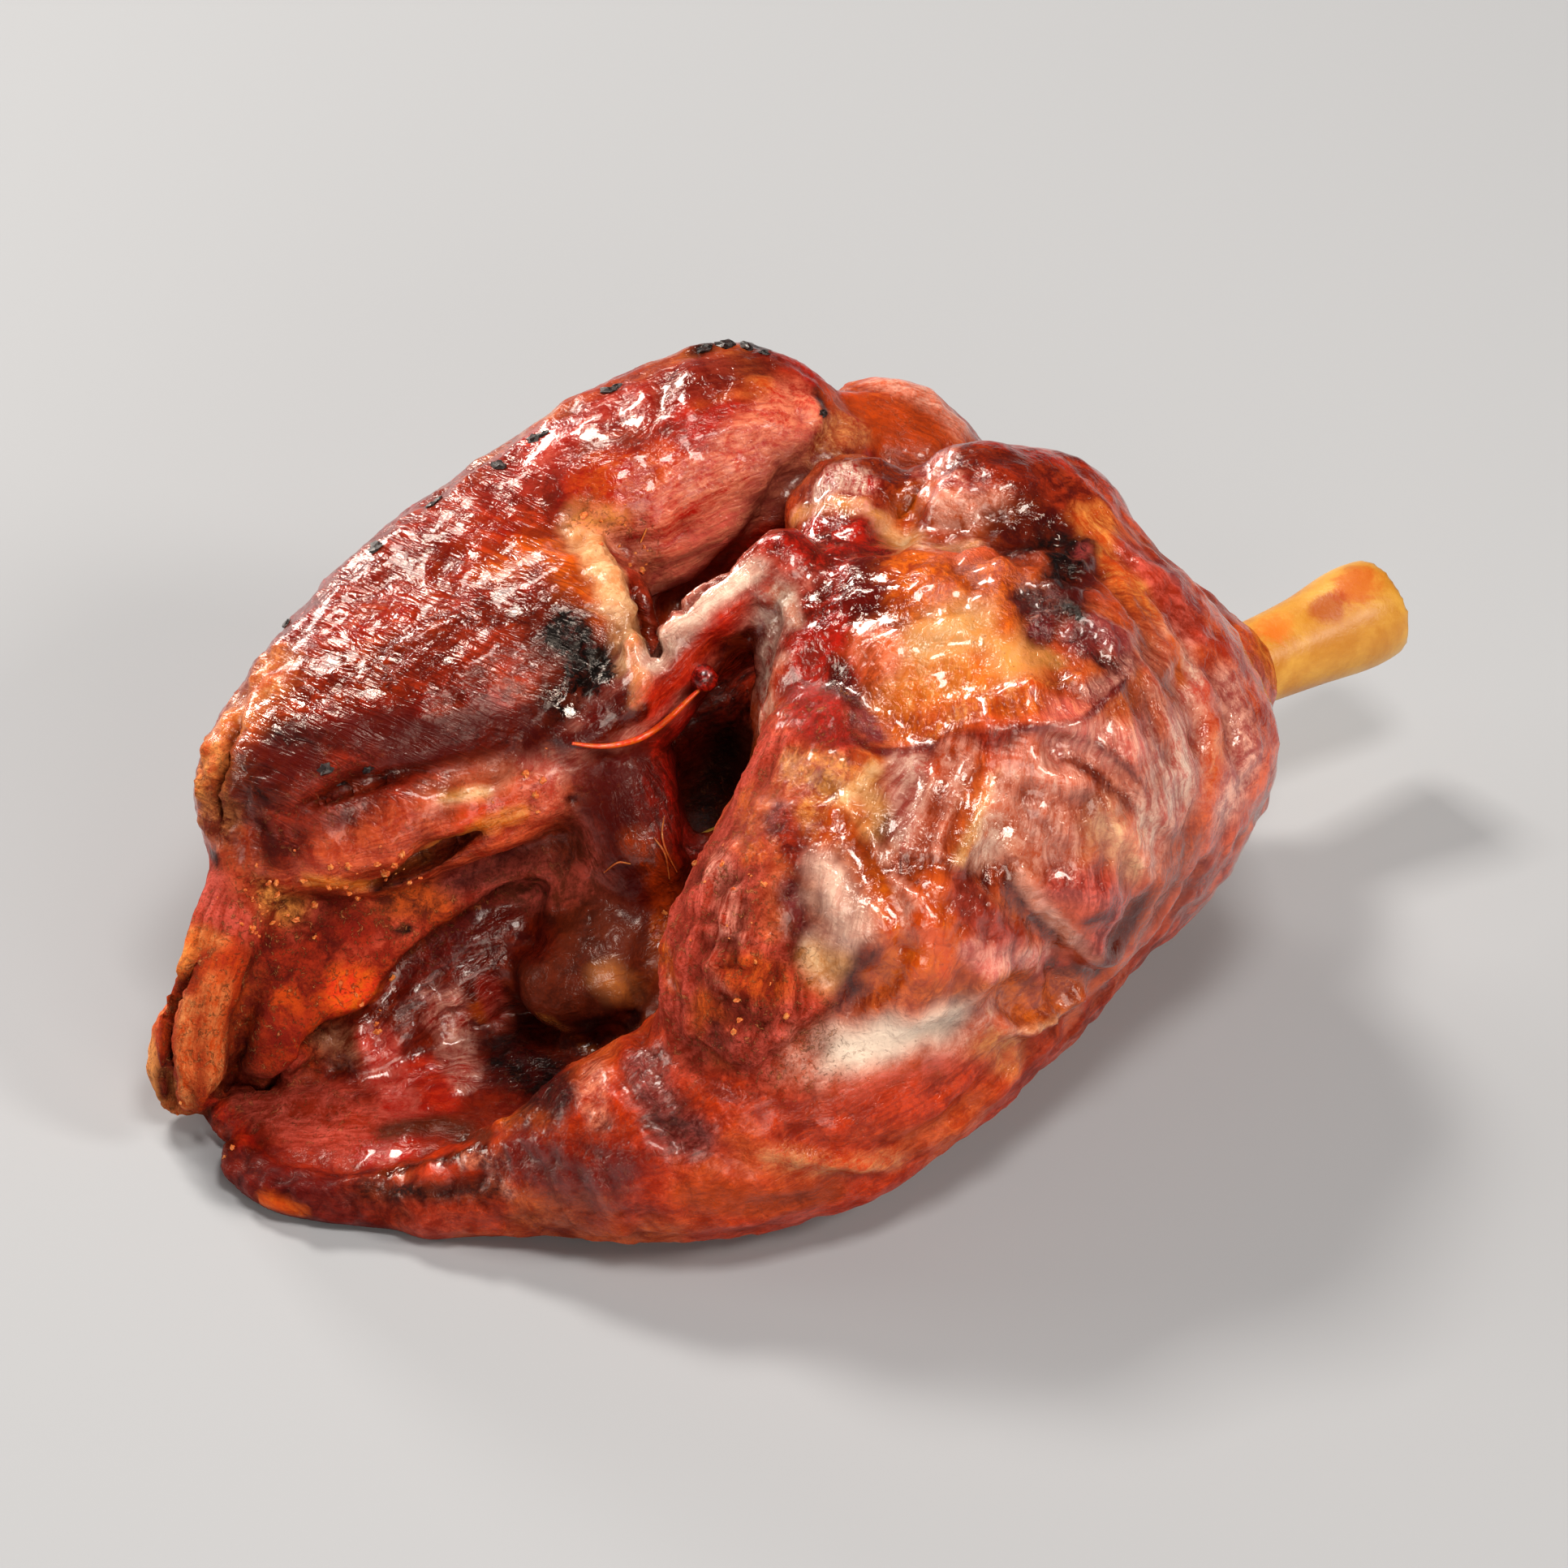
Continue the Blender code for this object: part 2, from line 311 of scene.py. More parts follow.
def pin(board_points):
    """Where each (across, up) point of the board meets the skin, as seen from the eye."""
    flat = np.array(board_points, float)
    aim = flat[:, :1] * BOARD_ACROSS + flat[:, 1:2] * BOARD_UP - EYE
    aim /= np.linalg.norm(aim, axis=1, keepdims=True)
    walk = EYE + aim[:, None, :] * MARCH[None, :, None]
    gaps = clay.value(walk.reshape(-1, 3)).reshape(len(flat), -1)
    gaps = np.where(walk[:, :, 2] < ON_TABLE, -1.0, gaps)
    hit = np.argmax(gaps < 0, axis=1)
    row = np.arange(len(flat))
    before, after = gaps[row, hit - 1], gaps[row, hit]
    back = np.clip(after / np.minimum(after - before, -1e-6), 0, 1)
    return EYE + aim * (MARCH[hit] - back)[:, None]


def settle(places):
    """Moves rough (x, y, z) places onto the nearest skin."""
    places = np.array(places, float)
    for _ in range(SETTLE_ROUNDS):
        step = np.clip(clay.value(places), -SETTLE_REACH, SETTLE_REACH)
        places -= clay.slope(places) * step[:, None]
    return places


def stroke(path):
    """A stroke's path on the skin: (across, up) points are pinned, (x, y, z) points settled."""
    line = curve_through(path, STROKE_STEPS)
    return pin(line) if len(path[0]) == 2 else settle(line)


# %% Brushes
def gap_to_line(where, line):
    """Distance to a line of points, and how far to the left of it, seen from the front."""
    best, side = None, None
    for start, end in zip(line[:-1], line[1:]):
        run = end - start
        length = run @ run + 1e-9
        offset = [where[axis] - start[axis] for axis in range(3)]
        t = np.clip(sum(o * r for o, r in zip(offset, run)) / length, 0, 1)
        offset = [o - t * r for o, r in zip(offset, run)]
        gap = sum(o * o for o in offset)
        left = np.cross(BACK, run)
        left /= np.linalg.norm(left) + 1e-9
        lean = sum(o * n for o, n in zip(offset, left))
        if best is None:
            best, side = gap, lean
        else:
            nearer = gap < best
            best, side = np.where(nearer, gap, best), np.where(nearer, lean, side)
    return np.sqrt(best), side


def press(path, width, height, lift_left=False):
    """Raises the skin along a stroke by height, or presses it in where height is below 0."""
    line = stroke(path)
    part, where = clay.near(line, width)
    gap, side = gap_to_line(where, line)
    amount = height * np.clip(1 - (gap / width) ** 2, 0, 1) ** 2
    if lift_left:
        amount = amount * np.clip(side / (0.25 * width), -1, 1)
    clay.far[part] -= amount.astype(np.float32)


# a slit is a tube cut at each of these shares of its depth, thinner each time
SLIT_DEPTHS = (0.0, 0.35, 0.7, 1.0)
SLIT_TAPER, SLIT_BLEND = 0.45, 0.7


def slit(path, width, depth):
    """A narrow gap between two layers, as wide as width at the skin and half that at its bottom."""
    line = stroke(path)
    inward = -clay.slope(line)
    ends = np.sin(np.linspace(0.25, math.pi - 0.25, len(line))) ** 0.5
    for share in SLIT_DEPTHS:
        middle = line + inward * (depth * share * ends)[:, None]
        tube = np.column_stack([middle, 0.5 * width * (1 - SLIT_TAPER * share) * ends])
        part, where = clay.near(tube, width + 1.5)
        shape = tube_distance(where, tube, 1.0)
        clay.far[part] = -melt(-clay.far[part], shape, SLIT_BLEND)


# %% [markdown]
# ## Folds, torn edges and wrinkles
# Skin that shrinks in the oven folds over the muscles, and every cut layer has a torn edge. Each
# line below is one of them, by what it is on the hock: the path on the board, then the width and
# the height in mm. They could be noise, but noise puts no fold where the meat would fold.

# %% Grooves of the ridge
RIDGE_GROOVES = [
    # under the ridge's skin edge, and the gap under the pale band
    ([(-76, 27), (-69, 32), (-61, 35), (-52, 36), (-42, 37.5), (-34, 38.5), (-26, 38)], 2.6, -1.4),
    ([(-61, 20), (-55, 22), (-50, 24.5), (-45, 26.5)], 2.4, -3.4),
    # the folded left end of the ridge
    ([(-84, 38), (-81, 40), (-77.5, 42.5)], 1.4, -0.8),
    ([(-80, 35.5), (-78, 33.5), (-79.5, 30.5), (-78.5, 28)], 1.5, -1.0),
    ([(-79, 38), (-76, 36.5), (-73.5, 37.5)], 1.4, -0.7),
    ([(-79, 44), (-80.5, 38), (-81.6, 33), (-80.5, 28), (-79, 24)], 1.8, -1.4),
]

# %% Grooves of the cleft, the knobs and the fatty hollow
TOP_GROOVES = [
    # the cleft beside the torn rim, and the bottom of the cut wall
    ([(-21.5, 63), (-19.5, 57), (-18.5, 53)], 2.5, -3.0),
    ([(-19.7, 56.5), (-14.5, 61.6), (-7.4, 67.8), (-1.2, 75), (5, 82.5), (8, 86)], 2.6, -2.2),
    # the valley between the two knobs, with its pleats
    ([(14.6, 69), (17, 73), (20, 77), (21.5, 81)], 4.5, -2.2),
    ([(23, 70), (27, 72.5), (31, 73)], 1.6, -1.0),
    ([(24, 74), (28, 75.5), (32, 75)], 1.5, -0.9),
    ([(25, 67), (29, 69), (33, 70)], 1.6, -0.9),
    ([(16, 72), (12, 70), (8, 70)], 1.6, -0.8),
    ([(17, 75), (14, 74.5), (10, 74)], 1.5, -0.8),
    # the fatty hollow, and the knot of dark crust above it
    ([(17, 43), (23, 49.5), (30.5, 54.5), (37, 56.5)], 9.5, -2.8),
    ([(22, 60), (28, 63), (33, 62)], 6.0, -1.2),
]

# %% Grooves of the round lobe
LOBE_GROOVES = [
    # creases that run down and right over the lobe
    ([(40, 38.7), (45, 37), (49, 33), (52, 29), (55, 25)], 2.8, -1.8),
    ([(38, 41), (43, 39), (47, 36.5), (50, 34)], 2.2, -1.2),
    ([(20, 37), (18, 31), (15.5, 25)], 1.8, -0.9),
    ([(24, 38), (22, 32), (19, 24)], 1.8, -1.0),
    ([(28, 38), (26.5, 32), (24, 25)], 1.8, -0.9),
    ([(57, 50), (60, 43), (61, 35), (59, 28)], 2.6, -0.9),
    ([(61, 52), (64, 45), (65, 37)], 2.2, -0.7),
    ([(45, 66), (50, 60), (55, 53)], 1.9, -0.9),
    ([(48, 68), (54, 61), (59, 53)], 1.9, -0.8),
    ([(36, 33), (42, 31), (47, 26), (50, 21)], 2.2, -0.7),
    ([(15, 23.3), (21.3, 22.3), (25.4, 20.7), (31, 21.3)], 2.0, -1.2),
    ([(30, 22.5), (33, 19), (36, 15.5), (38.5, 12.5), (41.5, 10)], 4.0, -2.8),
    ([(38, 9), (42, 7.3), (46, 6)], 3.6, -2.4),
    ([(46.5, 10.5), (49, 12.8), (50, 16)], 2.6, -1.2),
    # the amber dimple low on the lobe
    ([(32, 4.3), (36, 3.6), (40, 4)], 5.5, -3.2),
    ([(38, 8), (40, 3), (42, -1)], 2.6, -1.6),
]

# %% Grooves of the tendon, the front knob and the front roll
FRONT_GROOVES = [
    # the tendon's valley, and the crease over the front roll
    ([(9, 28.5), (10.4, 24.4), (12.5, 20.7), (15.6, 16.6), (17.6, 12.5), (16, 8.4),
      (13.5, 6)], 2.6, -1.4),
    ([(-14, -4), (-9, -8), (-4, -8), (1, -4.5), (5.3, -1), (9.4, 2), (13.5, 5.3)], 3.0, -2.0),
    # wrinkles down the front knob
    ([(-10.4, 16.6), (-12.5, 9.4), (-13.5, 2.3)], 1.7, -0.9),
    ([(-6.3, 17.6), (-8.4, 9.4), (-9.4, 2.3), (-9.4, -2)], 1.7, -1.0),
    ([(-2.3, 17.6), (-4.3, 10.4), (-6, 4.3), (-7, -1)], 1.7, -0.8),
    ([(1.3, 15.6), (-0.7, 9.4), (-2.3, 3.3), (-4.3, -2)], 1.7, -0.8),
    # folds along the front roll
    ([(25, -12), (32.5, -6), (40, -1), (46, 4)], 2.4, -1.6),
    ([(20, -12), (27, -7), (34, -3)], 2.2, -1.3),
    ([(1, -16.6), (6, -18), (13.5, -18.6), (19.7, -16), (26.4, -12)], 2.6, -1.6),
    ([(-18, -15), (-8, -19), (2, -22), (12, -23)], 2.8, -1.4),
    ([(44, 2), (50, 8), (56, 15), (60, 22)], 2.4, -1.2),
]

# %% Grooves of the flap and the cut end
CUT_END_GROOVES = [
    # the layers of the flap on the left
    ([(-87.5, 6), (-89, 2), (-89, -4), (-88.7, -12)], 1.7, -3.2),
    ([(-81.7, 14), (-85, 8.5), (-87.4, 3.7), (-88.5, 0)], 1.6, -1.8),
    ([(-79.5, 14), (-82.5, 8), (-84.5, 2), (-84.5, -5), (-85.5, -11)], 1.4, -0.8),
    ([(-77, 4), (-79, -6), (-82, -11)], 1.8, -1.6),
    # streaks of the dark muscle inside, and pits
    ([(-58, 6), (-50, 7.5), (-44, 10), (-36, 12)], 2.0, -1.2),
    ([(-52, 2), (-46, 1), (-42, -4)], 1.8, -0.9),
    ([(-60, 1), (-56, -8), (-51, -15)], 1.8, -0.9),
    ([(-30.7, 33), (-30.5, 32.6)], 1.8, -2.4),
    ([(-64.7, -6), (-64.3, -6)], 1.8, -2.4),
    ([(-66, -1.5), (-64, -1.2)], 3.6, -1.4),
    # folds between the dark hole and the front knob
    ([(-26, -3), (-23, -9), (-19, -14), (-16, -17)], 2.0, -1.0),
    ([(-22, 1), (-19.5, -5), (-16, -11)], 1.8, -0.8),
]

# %% [markdown]
# ## Edges that stand up, and gaps
# Torn rims and membranes stand up from the meat, and one layer's edge hangs over the floor below it.
# Between layers there are gaps too narrow and deep for a groove, which are cut with thin tubes after
# everything else, so that no other stroke fills them.

# %% Raised edges
RIDGES = [
    # the torn rim at the end of the ridge, and the glossy edges round the fatty hollow
    ([(-28.5, 70.5), (-24.5, 65), (-22.8, 59), (-20.8, 53.5), (-20, 49), (-20.5, 45)], 2.8, 1.5),
    ([(9, 39), (14, 38.5), (19.3, 38.5), (24, 41.5), (33, 43), (42, 43), (47, 47),
      (50.5, 52)], 2.2, 1.2),
    ([(19.5, 41), (23.3, 43.5), (26.4, 46), (33, 48), (42.8, 50)], 1.4, 0.8),
    ([(34, 21), (37, 16.8), (40, 14), (43.5, 11), (46, 9.4)], 3.2, 2.2),
    ([(42, 18.5), (47, 15.5)], 6.0, 1.8),
    ([(29, 6), (32.5, 7.4), (37, 6)], 2.4, 1.6),
    ([(29.5, 1.5), (32.5, -0.8), (36.5, -0.8), (40, 1), (43, 4)], 2.4, 1.5),
    ([(5, 22), (7, 16), (9.5, 10)], 5.5, 1.2),
    ([(11, 33), (8.4, 32.6), (7, 30), (9, 27)], 1.5, 0.9),
    # membranes in the bottom of the cut end
    ([(-78, -22), (-66, -24), (-57, -21.5), (-52, -18), (-45, -15.5), (-37, -13)], 1.8, 1.1),
    ([(-57, -24.5), (-50, -22), (-42, -20)], 1.6, 0.8),
    ([(-24, 4), (-28, 0), (-31, -2)], 2.0, 0.8),
]

STEPS = [
    # the second layer's edge hangs over the floor
    ([(-36.7, 20.3), (-42, 18.6), (-47, 16), (-53, 11.5), (-56.5, 8), (-58.2, 6), (-60.6, 3),
      (-64.7, 1.2), (-68.4, -0.8), (-69.4, -4), (-71.5, -6.3), (-75, -7.4), (-78.5, -6)], 4.2, -2.4),
]

# %% Gaps between layers
SLITS = [
    # path, width and depth: between the layers of the flap, and under the second layer
    ([(-88, 7), (-89, 2), (-89, -4), (-88.5, -12)], 1.5, 2.4),
    ([(-84, 11), (-86.5, 5.5), (-88, 1.5)], 1.2, 1.6),
    ([(-77.5, 2), (-79.3, -6), (-82, -10.5)], 1.3, 1.6),
    ([(-40, 19.3), (-47, 15.6), (-53, 11), (-57, 7)], 1.9, 3.5),
    ([(-60, 2.6), (-64.7, 0.6), (-68.4, -1.6), (-70, -5), (-75, -8.2), (-78, -8)], 2.0, 3.5),
    ([(-60, 20), (-55, 22), (-50, 24.5), (-44, 27.5)], 2.4, 4.0),
    # folds of the ridge's left end and under its skin
    ([(-78.6, 43), (-80.5, 38), (-81.6, 33.5), (-81.2, 29)], 1.3, 1.8),
    ([(-70, 31.5), (-61, 34.8), (-52, 36.4)], 1.5, 2.0),
    # beside the torn rim, under the cut wall, and along the strap's outline
    ([(-21.5, 63), (-19.3, 57), (-18.3, 53.5)], 2.2, 4.5),
    ([(-18.5, 56.5), (-13.5, 61.6), (-6.4, 67.6)], 1.0, 1.4),
    # the valley between the knobs and the dark bands' creases
    ([(17, 73), (19, 76), (21.5, 80)], 1.2, 1.0),
]

# %% Sculpt the details
GROOVES = RIDGE_GROOVES + TOP_GROOVES + LOBE_GROOVES + FRONT_GROOVES + CUT_END_GROOVES

for path, width, height in GROOVES + RIDGES:
    press(path, width, height)
for path, width, height in STEPS:
    press(path, width, height, lift_left=True)
for path, width, depth in SLITS:
    slit(path, width, depth)
print("strokes:", len(GROOVES) + len(RIDGES) + len(STEPS) + len(SLITS))

# %% [markdown]
# ## From clay to mesh
# Every cell of the grid that the skin passes through gets one point, at the middle of the places
# where the skin crosses the cell's edges, and every crossed edge gets one quad around it. A Remesh
# modifier needs a mesh to start from, and here there is only a grid, so the mesh is made in code.

# %% Points of the skin
def skin_points(block, far, crossed):
    """The middle of the skin inside each crossed cell of the block."""
    place = np.argwhere(crossed)
    total, hits = np.zeros((len(place), 3)), np.zeros(len(place))
    for corner in CORNERS:
        for axis in range(3):
            if corner[axis]:
                continue
            other = np.array(corner)
            other[axis] = 1
            a, b = far[tuple((place + corner).T)], far[tuple((place + other).T)]
            crossing = (a < 0) != (b < 0)
            point = np.tile(np.array(corner, float), (len(place), 1))
            point[:, axis] = a / np.where(crossing, a - b, 1.0)
            total += point * crossing[:, None]
            hits += crossing
    return (place + total / hits[:, None]) * block.step + block.low


# %% Quads of the skin
def skin_quads(inside, number):
    """One quad around each edge of the grid that crosses the skin, all facing outwards."""
    quads = []
    for axis, (u, v) in enumerate([(1, 2), (2, 0), (0, 1)]):
        here, there = [slice(1, -1)] * 3, [slice(1, -1)] * 3
        here[axis], there[axis] = slice(0, -1), slice(1, None)
        edges = np.argwhere(inside[tuple(here)] != inside[tuple(there)])
        leaving = inside[tuple(here)][tuple(edges.T)]
        edges[:, u] += 1
        edges[:, v] += 1
        ring = []
        for du, dv in ((1, 1), (0, 1), (0, 0), (1, 0)):
            cell = edges.copy()
            cell[:, u] -= du
            cell[:, v] -= dv
            ring.append(number[tuple(cell.T)])
        ring = np.stack(ring, 1)
        ring[~leaving] = ring[~leaving][:, ::-1]
        quads.append(ring)
    return np.concatenate(quads)


def skin_of(block):
    """The skin of the clay above the table, as points in mm and quads."""
    far = np.maximum(block.far, -block.axes[2][None, None, :])
    inside = far < 0
    cells = [n - 1 for n in far.shape]
    count = sum(inside[i:i + cells[0], j:j + cells[1], k:k + cells[2]].astype(np.int8)
                for i, j, k in CORNERS)
    crossed = (count > 0) & (count < len(CORNERS))
    number = np.full(cells, -1, np.int64)
    number[crossed] = np.arange(crossed.sum())
    return skin_points(block, far, crossed), skin_quads(inside, number)


points, quads = skin_of(clay)
print("meat points:", len(points), "triangles:", 2 * len(quads))

# %% [markdown]
# ## Which muscle, and which way its fibres run
# Meat is streaky along its fibres. For each point the nearest muscle gives a place along its path
# and a place across it, and patterns that are stretched along the first follow the muscle round.
# On the round lobe the fibres fan out from the fatty hollow instead. Where two muscles are about as
# near, both count, so colours run into each other over a few mm.

# %% Fibre directions
ALL_SHAPES = {**MUSCLES, **LAYERS, **FLAPS}
NAMES = list(ALL_SHAPES)
LOBE = ("lobe", "lobe_shoulder", "lobe_cheek", "lobe_edge", "belly")
FAN_CENTRE = np.array([25.5, -2.0, 48.0])
FAN_TOP = pin([(31, 66)])[0] - FAN_CENTRE
# how far the fibres run down the lobe in mm, and how wide its top is laid out flat
LOBE_RADIUS, FLAT_TOP, FLAT_SPREAD = 34, 14, 20
# how far from a muscle its fibres are looked for, and the distance given to all that is further
NEAR_MUSCLE, FAR_FROM_ALL = 12, 30.0
# moves each muscle's pattern along, so that no two muscles show the same streaks
OWN_PATTERN = 7.3


def near_line(places, line, reach):
    """The numbers of the places within reach of the box round a line."""
    inside = (places > line.min(0) - reach) & (places < line.max(0) + reach)
    return np.flatnonzero(np.all(inside, axis=1))


def fan_places(places):
    """Round the fan's axis and away from its top, but as on a flat map near the top itself."""
    top = FAN_TOP / np.linalg.norm(FAN_TOP)
    first = np.cross(top, (0, 0, 1.0))
    first /= np.linalg.norm(first)
    second = np.cross(top, first)
    offset = places - FAN_CENTRE
    radius = np.linalg.norm(offset, axis=1)
    turn = np.arctan2(offset @ second, offset @ first)
    tilt = np.arccos(np.clip(offset @ top / radius, -1, 1))
    spread = FLAT_SPREAD * np.tanh(tilt * LOBE_RADIUS / FLAT_TOP)
    return np.stack([spread * np.cos(turn), spread * np.sin(turn), tilt * LOBE_RADIUS], 1)


def fibre_places(places):
    """For each place: its distance to each muscle, and (across, across, along) in mm."""
    gaps = np.full((len(NAMES), len(places)), FAR_FROM_ALL, np.float32)
    best = np.full(len(places), 1e9)
    owner = np.zeros(len(places), int)
    fibre = np.zeros((len(places), 3))
    for number, name in enumerate(NAMES):
        path, _, *flatness = ALL_SHAPES[name]
        line = curve_through(path, 3)
        near = near_line(places, line[:, :3], line[:, 3].max() + NEAR_MUSCLE)
        spots = places[near]
        way = line[-1, :3] - line[0, :3] + 1e-3
        way /= np.linalg.norm(way)
        first = np.cross(way, (0.1, 0.2, 1.0))
        first /= np.linalg.norm(first)
        second = np.cross(way, first)
        run_so_far = 0.0
        for start, end in zip(line[:-1], line[1:]):
            run = (end - start)[:3]
            length = math.sqrt(run @ run + 1e-9)
            unit = run / length if length > 0.01 else way
            offset = spots - start[:3]
            along = offset @ unit
            t = np.clip(along / length, 0, 1)
            side = offset - (t * length)[:, None] * unit
            lift = side * (1, 1, 1 / flatness[0]) if flatness else side
            gap = np.linalg.norm(lift, axis=1) - (start[3] + (end[3] - start[3]) * t)
            gaps[number, near] = np.minimum(gaps[number, near], gap)
            closer = gap < best[near]
            hit = near[closer]
            best[hit], owner[hit] = gap[closer], number
            side = side[closer]
            fibre[hit, 0] = side @ first
            fibre[hit, 1] = side @ second
            fibre[hit, 2] = run_so_far + along[closer]
            run_so_far += length
    on_lobe = np.isin(owner, [NAMES.index(name) for name in LOBE])
    fibre[on_lobe] = fan_places(places[on_lobe])
    fibre += owner[:, None] * OWN_PATTERN * ~on_lobe[:, None]
    return gaps, fibre


muscle_gaps, fibre = fibre_places(points)
print("muscles and layers:", len(NAMES))

# %% [markdown]
# ## Noise in code
# Edges of colours, lumps and folds all need something irregular. A noise texture is at hand in a
# material only, so here is one for the mesh. It gives the same numbers at every run.

# %% Noise
def noise(places, seed):
    """Smooth noise between -1 and 1, one cell a unit. The big numbers only stir the bits."""
    cell = np.floor(places).astype(np.int64)
    t = places - cell
    t = t * t * t * (t * (t * 6 - 15) + 10)
    total = np.zeros(len(places))
    for i, j, k in CORNERS:
        mix = (cell[:, 0] + i) * 374761393 + (cell[:, 1] + j) * 668265263
        mix = (mix + (cell[:, 2] + k) * 2147483647 + seed * 974634777) & 0xFFFFFFFF
        mix = ((mix ^ (mix >> 13)) * 1274126177) & 0xFFFFFFFF
        value = ((mix ^ (mix >> 16)) & 0xFFFF) / 32767.5 - 1
        total += corner_share(t, (i, j, k)) * value
    return total


def layered(places, seed, octaves):
    """Noise with finer noise on it."""
    total = sum(noise(places * 2 ** n, seed + n) / 2 ** n for n in range(octaves))
    return total / (2 - 2 ** (1 - octaves))


def folded(places, seed):
    """Round folds with sharp creases between them, from -1 in a crease to 1."""
    layers = [2.6 * np.abs(noise(places * 2 ** n, seed + n)) - 1 for n in (0, 1)]
    return (layers[0] + layers[1] / 2) / 1.5


# %% [markdown]
# ## What each muscle looks like
# The two swatches are the raised streaks and the darker meat between them. Then come how glossy
# it is, how strandy (bare meat), how pleated (skin), how rippled (the ridge's crisp skin), how
# strongly its colour is streaked, and how dry and crumbly it is.

# %% Swatches
SWATCHES = {
    "tan": (214, 134, 80), "umber": (108, 42, 22), "mahogany": (120, 28, 16), "oxblood": (76, 13, 9),
    "crimson": (178, 32, 20), "scarlet": (224, 58, 28), "rust": (192, 68, 18), "amber": (218, 100, 22),
    "copper": (210, 88, 32), "honey": (228, 144, 70), "cream": (240, 194, 144),
    "blush": (226, 130, 98), "rose": (208, 88, 74), "plum": (116, 40, 42), "tar": (16, 8, 6),
    "char": (44, 17, 13), "pink": (238, 172, 150), "brick": (154, 44, 22), "wine": (100, 22, 15),
    "bark": (80, 32, 17), "salmon": (212, 90, 52), "olive": (178, 112, 50), "ash": (158, 100, 72),
    "mauve": (150, 66, 60), "dusk": (122, 56, 36), "ivory": (255, 228, 204), "tallow": (206, 152, 98),
    "sienna": (152, 54, 20), "maroon": (84, 20, 11), "ember": (206, 60, 6), "deep": (146, 36, 6),
}


def swatch(name):
    """A swatch in the linear numbers that shaders work in."""
    return (np.array(SWATCHES[name]) / 255) ** 2.2


TRAITS = {
    # name: light, dark, gloss, strands, pleats, ripple, streak, dry
    "core": ("brick", "wine", 0.7, 0.4, 0.0, 0.0, 0.6, 0.1),
    "back": ("copper", "brick", 0.6, 0.2, 0.8, 0.0, 0.6, 0.1),
    "flank": ("rust", "mahogany", 0.6, 0.2, 0.8, 0.2, 0.5, 0.1),
    "underside": ("copper", "brick", 0.4, 0.2, 0.8, 0.0, 0.6, 0.2),
    "belly": ("copper", "rust", 0.5, 0.2, 0.8, 0.0, 0.7, 0.1),
    "collar": ("copper", "brick", 0.6, 0.2, 0.8, 0.0, 0.6, 0.1),
    "lobe": ("salmon", "rust", 0.9, 0.3, 1.0, 0.0, 1.0, 0.0),
    "lobe_shoulder": ("salmon", "brick", 0.9, 0.3, 1.0, 0.0, 1.0, 0.0),
    "lobe_cheek": ("amber", "sienna", 0.75, 0.3, 1.0, 0.0, 0.9, 0.0),
    "lobe_edge": ("crimson", "mahogany", 1.0, 0.1, 0.4, 0.3, 0.3, 0.0),
    "front_knob": ("rose", "brick", 0.45, 1.0, 0.0, 0.0, 0.9, 0.9),
    "front_roll": ("ember", "deep", 0.5, 0.2, 0.6, 0.0, 0.5, 0.1),
    "lobe_crest": ("salmon", "brick", 0.6, 0.2, 0.7, 0.0, 0.9, 0.0),
    "right_knob": ("crimson", "maroon", 0.75, 0.0, 0.5, 0.3, 0.4, 0.0),
    "left_knob": ("rust", "mahogany", 1.0, 0.0, 0.5, 0.3, 0.4, 0.0),
    "ridge_back": ("crimson", "mahogany", 0.9, 0.0, 0.4, 1.0, 0.4, 0.0),
    "ridge_front": ("crimson", "maroon", 0.9, 0.0, 0.4, 1.0, 0.4, 0.0),
    "ridge_top": ("crimson", "mahogany", 0.6, 0.2, 0.5, 0.2, 0.4, 0.0),
    "ridge_tail": ("copper", "brick", 0.7, 0.4, 0.4, 0.0, 0.7, 0.2),
    "left_wall": ("rust", "brick", 0.4, 0.9, 0.0, 0.0, 0.8, 0.7),
    "pale_band": ("salmon", "brick", 0.6, 0.6, 0.0, 0.0, 0.8, 0.2),
    "second_layer": ("rose", "brick", 0.25, 0.7, 0.0, 0.0, 0.6, 0.7),
    "sheet": ("rust", "mahogany", 0.2, 0.6, 0.0, 0.0, 0.5, 0.9),
    "tongue": ("brick", "mahogany", 0.25, 0.5, 0.0, 0.0, 0.6, 0.9),
    "membrane": ("mauve", "wine", 0.6, 0.4, 0.0, 0.0, 0.6, 0.1),
    "floor": ("brick", "mahogany", 0.5, 0.2, 0.0, 0.0, 0.5, 0.1),
    "inner_floor": ("brick", "wine", 0.5, 0.6, 0.0, 0.0, 0.9, 0.1),
    "rim": ("mahogany", "oxblood", 0.5, 0.1, 0.0, 0.0, 0.3, 0.0),
    "inner_muscle": ("mahogany", "oxblood", 0.7, 0.9, 0.0, 0.0, 1.0, 0.0),
    "shank_veil": ("umber", "bark", 0.3, 0.2, 0.0, 0.0, 0.5, 0.0),
    "knuckle_skin": ("umber", "bark", 0.35, 0.1, 0.0, 0.0, 0.4, 0.0),
    "pocket_wall": ("maroon", "oxblood", 0.45, 0.2, 0.0, 0.0, 0.9, 0.0),
    "strap_face": ("crimson", "mahogany", 0.6, 0.4, 0.0, 0.0, 0.8, 0.0),
    "strap": ("pink", "rose", 0.9, 0.5, 0.2, 0.0, 0.8, 0.0),
    "outer_flap": ("tan", "rust", 0.4, 0.8, 0.0, 0.0, 0.8, 0.8),
    "inner_flap": ("rust", "brick", 0.3, 0.9, 0.0, 0.0, 0.8, 0.9),
}

